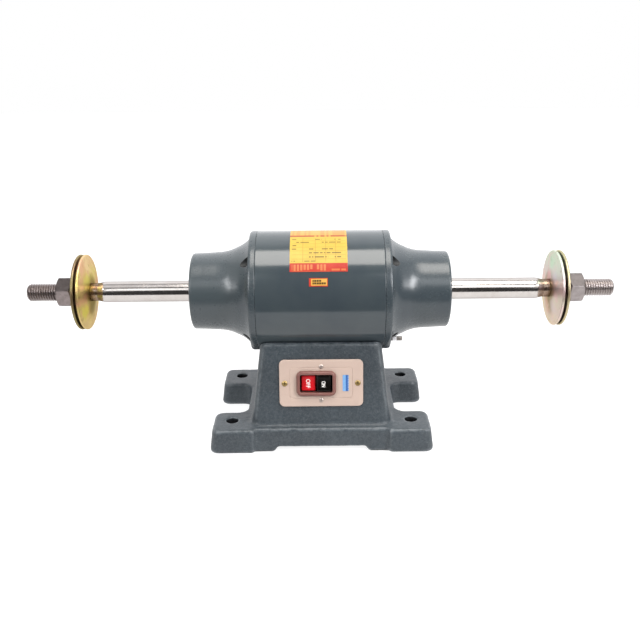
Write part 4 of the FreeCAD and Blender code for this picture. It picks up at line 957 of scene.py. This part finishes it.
def bezel_mesh():
    """Soft frame round the buttons: crowned, its foot flared on the plate."""
    z0, z1 = PLATE_T + 0.02, PLATE_T + BEZEL_T
    w, h, r = BEZEL_W, BEZEL_H, BEZEL_R
    rings = [(rr(30.8, 18.2, 1.4, BX, BY), -0.5), (rr(30.8, 18.2, 1.4, BX, BY), z0), (rr(w - 0.2, h - 0.2, r, BX, BY), z0), (rr(w, h, r, BX, BY), z0 + 0.10)]
    for k in range(0, 9):                              # outer roll
        f = k / 8.0
        q = 1.85 * (1 - math.cos(f * math.pi / 2))
        rings.append((rr(w - 2 * q - 0.1 * f, h - 2 * q - 0.1 * f, r - q * 0.7, BX, BY), z0 + 0.35 + (z1 - z0 - 0.35) * math.sin(f * math.pi / 2)))
    rings.append((rr(WIN_W + 2.4, WIN_H + 2.4, 1.6, BX, BY), z1 - 0.05))
    for k in range(1, 6):                              # inner lip
        f = k / 5.0
        q = 0.8 * math.sin(f * math.pi / 2)
        rings.append((rr(WIN_W + 1.6 - 2 * q, WIN_H + 1.6 - 2 * q, 1.2, BX, BY), z1 - 0.12 - 0.75 * (1 - math.cos(f * math.pi / 2))))
    rings += [(rr(WIN_W, WIN_H, 0.9, BX, BY), z1 - 1.6), (rr(WIN_W, WIN_H, 0.8, BX, BY), -0.5)]
    return loops("switch_bezel_moulded", rings, closed=True)


piece(bezel_mesh(), [mauve], "base", ["switch_bezel"])


def face_z(top, y):
    return top - 0.3 + 60.0 - math.sqrt(3600.0 - (y - BY) ** 2)


def button_mesh(name, sign, top):
    cx = BX + sign * (BTN_GAP / 2 + BTN_W / 2)
    w, h = BTN_W, BTN_H
    rings = [(rr(w - 0.6, h - 0.6, 0.7, cx, BY), top - 11.0), (rr(w, h, 0.9, cx, BY), top - 10.7), (rr(w, h, 0.9, cx, BY), top - 3.0)]
    for k in range(0, 7):
        a = math.radians(15.0 * k)
        q = 0.75 * (1 - math.cos(a))
        drop = 0.75 * (1 - math.sin(a))
        rings.append((rr(w - 2 * q, h - 2 * q, 0.9 - q * 0.5, cx, BY), lambda x, y, drop=drop: min(face_z(top, y), top) - drop))
    for q in (1.4, 2.4, 3.6, 4.8, 5.7):
        rings.append((rr(w - 2 * q, h - 2 * q, max(0.55 - q * 0.05, 0.2), cx, BY), lambda x, y: min(face_z(top, y), top)))
    return loops(name, rings, cap_first=True, cap_last=True)


piece(button_mesh("on_button_moulded", 1, ON_TOP), [black_shiny], "on_button_body", ["on_button"])
piece(button_mesh("off_button_moulded", -1, OFF_TOP), [red_shiny], "off_button_body", ["off_button"])


def lettering(name, word, cx, cy, cap, length, top, thick, body):
    """A word printed across a button, reading downwards, laid on its hollow face."""
    cu = bpy.data.curves.new(name, "FONT")
    cu.body = word
    cu.size = 1.0
    cu.align_x, cu.align_y = "CENTER", "CENTER"
    cu.offset = thick
    cu.space_character = 1.0
    cu.extrude = 0.02
    cu.resolution_u = 6
    tmp = bpy.data.objects.new(name + "_tmp", cu)
    SCENE.collection.objects.link(tmp)
    dg = bpy.context.evaluated_depsgraph_get()
    me = bpy.data.meshes.new_from_object(tmp.evaluated_get(dg))
    bpy.data.objects.remove(tmp)
    co = np.array([v.co for v in me.vertices])
    lo, hi = co.min(0), co.max(0)
    for v in me.vertices:
        s = (v.co.x - (lo[0] + hi[0]) / 2) / (hi[0] - lo[0]) * length     # along the word
        q = (v.co.y - (lo[1] + hi[1]) / 2) / (hi[1] - lo[1]) * cap        # across it
        x, y = cx + q, cy - s
        z = face_z(top, y) + (0.07 if v.co.z > 0 else -0.05)
        v.co = on_face(x, y, z)
    me.name = name
    ob = bpy.data.objects.new(name, me)
    SCENE.collection.objects.link(ob)
    fix_normals(ob)
    piece(ob, [white_print], body, [])
    return ob


lettering("off_lettering", "OFF", -11.7, -0.4, 3.8, 8.0, OFF_TOP, 0.012, "off_button_body")
lettering("on_lettering", "ON", 2.1, -0.5, 3.4, 5.3, ON_TOP, 0.012, "on_button_body")

# ==== the CAD nodes that stay =====================================================================
dress("motor_shell", paint_shell)
for n in ("left_end_bell", "right_end_bell"):
    dress(n, paint_bell)
dress("through_bolts", bolt_steel())
dress("through_bolt_nuts", pocket_shaded_steel)
dress("through_bolt_washers", pocket_shaded_steel)
dress("bottom_cover", zinc_plain)
dress("bottom_cover_screws", zinc_plain)
for n in ("shell_weld_studs", "stud_washers", "stud_nuts", "capacitor_clamp", "earth_screw", "seesaw_pin"):
    dress(n, zinc_plain)
dress("stator_core", lamination)
dress("stator_winding", copper)
dress("rotor_core", lamination)
dress("rotor_end_rings", rotor_alu)
for side in ("left", "right"):
    dress(side + "_bearing_outer_ring", bearing_steel)
    dress(side + "_bearing_inner_ring", bearing_steel)
    dress(side + "_bearing_balls", bearing_steel)
    dress(side + "_bearing_cage", cage_steel)
    dress(side + "_shaft_seal", black_rubber)
    dress(side + "_spring_washer", spring_steel)
dress("bearing_shields", cage_steel)
dress("preload_wave_washer", cage_steel)
dress("switch_housing", black_plain)
dress("seesaw_link", link_plastic)
dress("switch_terminals", brass)
dress("plate_screws", brass)
dress("switch_fixing_screws", screw_steel)
dress("switch_label", two_tone_sheet())
dress("rating_label", rating_sheet())
dress("notice_label", notice_sheet())
dress("run_capacitor", rotor_alu)
dress("terminal_block", link_plastic)
dress("terminal_screws", brass)
dress("lead_bush", black_rubber)
dress("cable_inlet_bush", black_rubber)
dress("motor_leads", lead_black)


# ==== floor and light =============================================================================
def floor():
    s = Shade("floor_sweep")
    n = s.noise(0.004, 3.0, 0.5)
    c = s.mix(s.remap(n, 0.3, 0.7), (0.24, 0.24, 0.245, 1), (0.27, 0.27, 0.27, 1))
    s.set(c, 0.6, 0.0, s.bump(s.noise(0.5, 2.0, 0.5), 0.01, 0.3), spec=0.1)
    s.b.inputs["Emission Color"].default_value = (1.0, 1.0, 1.0, 1.0)
    # painted shadow: no glow under the feet and the body
    x, y, z = s.xyz
    ax, ay = s.math("ABSOLUTE", x), s.math("ABSOLUTE", y)
    floor_shadow_body = s.math("MULTIPLY", s.remap(ax, 66.0, 63.0), s.remap(ay, 52.0, 48.0))
    floor_shadow_lugs = s.math("MULTIPLY", s.math("MULTIPLY", s.remap(ax, 42.0, 45.0), s.remap(ax, 97.5, 95.0)), s.math("MULTIPLY", s.remap(ay, 34.5, 37.0), s.remap(ay, 68.0, 66.0)))
    s.put(s.b.inputs["Emission Strength"], s.math("MULTIPLY", s.math("SUBTRACT", 1.0, s.math("MAXIMUM", floor_shadow_body, floor_shadow_lugs)), 0.88))
    x0, x1, y0, y1 = -2.5, 2.5, -0.34, 3.2
    me = bpy.data.meshes.new("floor")
    me.from_pydata([(x0, y0, 0), (x1, y0, 0), (x1, y1, 0), (x0, y1, 0)], [], [(0, 1, 2, 3)])
    ob = bpy.data.objects.new("floor", me)
    ob.data.materials.append(s.m)
    SCENE.collection.objects.link(ob)
    return ob


floor()


def softbox(name, at, to, sx, sy, level, color=(1.0, 1.0, 1.0)):
    """A rectangular soft light of about the given brightness."""
    d = bpy.data.lights.new(name, "AREA")
    d.shape = "RECTANGLE"
    d.size, d.size_y = sx, sy
    d.energy = level * sx * sy * 4.0
    d.color = color
    ob = bpy.data.objects.new(name, d)
    SCENE.collection.objects.link(ob)
    at, to = Vector(at), Vector(to)
    ob.location = at
    ob.rotation_mode = "QUATERNION"
    ob.rotation_quaternion = (to - at).to_track_quat("-Z", "Y")
    ob.visible_camera = False
    return ob


AX = Vector((0, 0, 0.132))
# overhead box: 64 to 96.5 degrees up from the front
hgt = 0.95
y_front, y_back = -hgt / math.tan(math.radians(64.3)), hgt * math.tan(math.radians(6.5))
softbox("overhead", (0.12, (y_front + y_back) / 2, 0.132 + hgt), (0.12, (y_front + y_back) / 2, 0.0), 0.74, y_back - y_front, 5.8, (1.0, 0.955, 0.89))


def polar(azimuth, elevation, dist):
    a, e = math.radians(azimuth), math.radians(elevation)
    return AX + Vector((math.sin(a) * math.cos(e), -math.cos(a) * math.cos(e), math.sin(e))) * dist


for sgn, side in ((-1, "left"), (1, "right")):
    softbox(side + "_box", polar(sgn * 42, 31, 1.25), AX, 0.80, 0.80, 0.54 if sgn > 0 else 0.40, (1.0, 1.0, 1.0))
    softbox(side + "_near", polar(sgn * 21, 37, 1.25), AX, 0.34, 0.42, 2.7 if sgn > 0 else 1.6, (0.96, 0.98, 1.0))
    softbox(side + "_hot", polar(sgn * 52, 27, 1.22), AX, 0.30 if sgn > 0 else 0.24, 0.55, 16.0 if sgn > 0 else 11.5, (0.97, 0.98, 1.0))

world = bpy.data.worlds.new("studio")
world.use_nodes = True
SCENE.world = world
wt = world.node_tree
wt.nodes.clear()


def world_nodes():
    """White room behind and above, dark in front; plain white where the camera looks past the floor."""
    t = wt
    tc = t.nodes.new("ShaderNodeTexCoord")
    sep = t.nodes.new("ShaderNodeSeparateXYZ")
    t.links.new(tc.outputs["Generated"], sep.inputs[0])

    def m(op, a, b=None):
        n = t.nodes.new("ShaderNodeMath")
        n.operation = op
        for i, v in enumerate((a, b)):
            if isinstance(v, bpy.types.NodeSocket):
                t.links.new(v, n.inputs[i])
            elif v is not None:
                n.inputs[i].default_value = v
        return n.outputs[0]

    x, y, z = sep.outputs
    el = m("MULTIPLY", m("ARCTAN2", z, m("MULTIPLY", y, -1.0)), 180.0 / math.pi)      # 0 front, 90 up, 180 back
    ramp = t.nodes.new("ShaderNodeValToRGB")
    pos = m("DIVIDE", m("ADD", el, 180.0), 360.0)
    t.links.new(pos, ramp.inputs[0])
    el_ = ramp.color_ramp.elements
    stops = [(-180, 1.1), (-110, 0.6), (-80, 0.10), (-30, 0.07), (0, 0.06), (53, 0.06), (54, 0.2), (63, 0.2), (64.3, 1.1), (95, 1.1), (96, 0.5), (104, 0.5), (116, 1.42), (132, 1.70), (180, 1.6)]
    while len(el_) < len(stops):
        el_.new(0.5)
    for e, (a, v) in zip(el_, stops):
        e.position = (a + 180.0) / 360.0
        e.color = (v, v, v * 1.02, 1.0)
    # the room is dimmer towards its two ends
    ends = t.nodes.new("ShaderNodeMapRange")
    ends.clamp = True
    t.links.new(m("ABSOLUTE", x), ends.inputs["Value"])
    for k_, v_ in (("From Min", 0.72), ("From Max", 0.95), ("To Min", 1.0), ("To Max", 0.30)):
        ends.inputs[k_].default_value = v_
    bg_light = t.nodes.new("ShaderNodeBackground")
    t.links.new(ramp.outputs[0], bg_light.inputs[0])
    t.links.new(ends.outputs["Result"], bg_light.inputs[1])
    bg_cam = t.nodes.new("ShaderNodeBackground")
    bg_cam.inputs[0].default_value = (1.0, 1.0, 1.0, 1.0)
    bg_cam.inputs[1].default_value = 1.0
    lp = t.nodes.new("ShaderNodeLightPath")
    mix = t.nodes.new("ShaderNodeMixShader")
    t.links.new(lp.outputs["Is Camera Ray"], mix.inputs[0])
    t.links.new(bg_light.outputs[0], mix.inputs[1])
    t.links.new(bg_cam.outputs[0], mix.inputs[2])
    out = t.nodes.new("ShaderNodeOutputWorld")
    t.links.new(mix.outputs[0], out.inputs[0])


world_nodes()
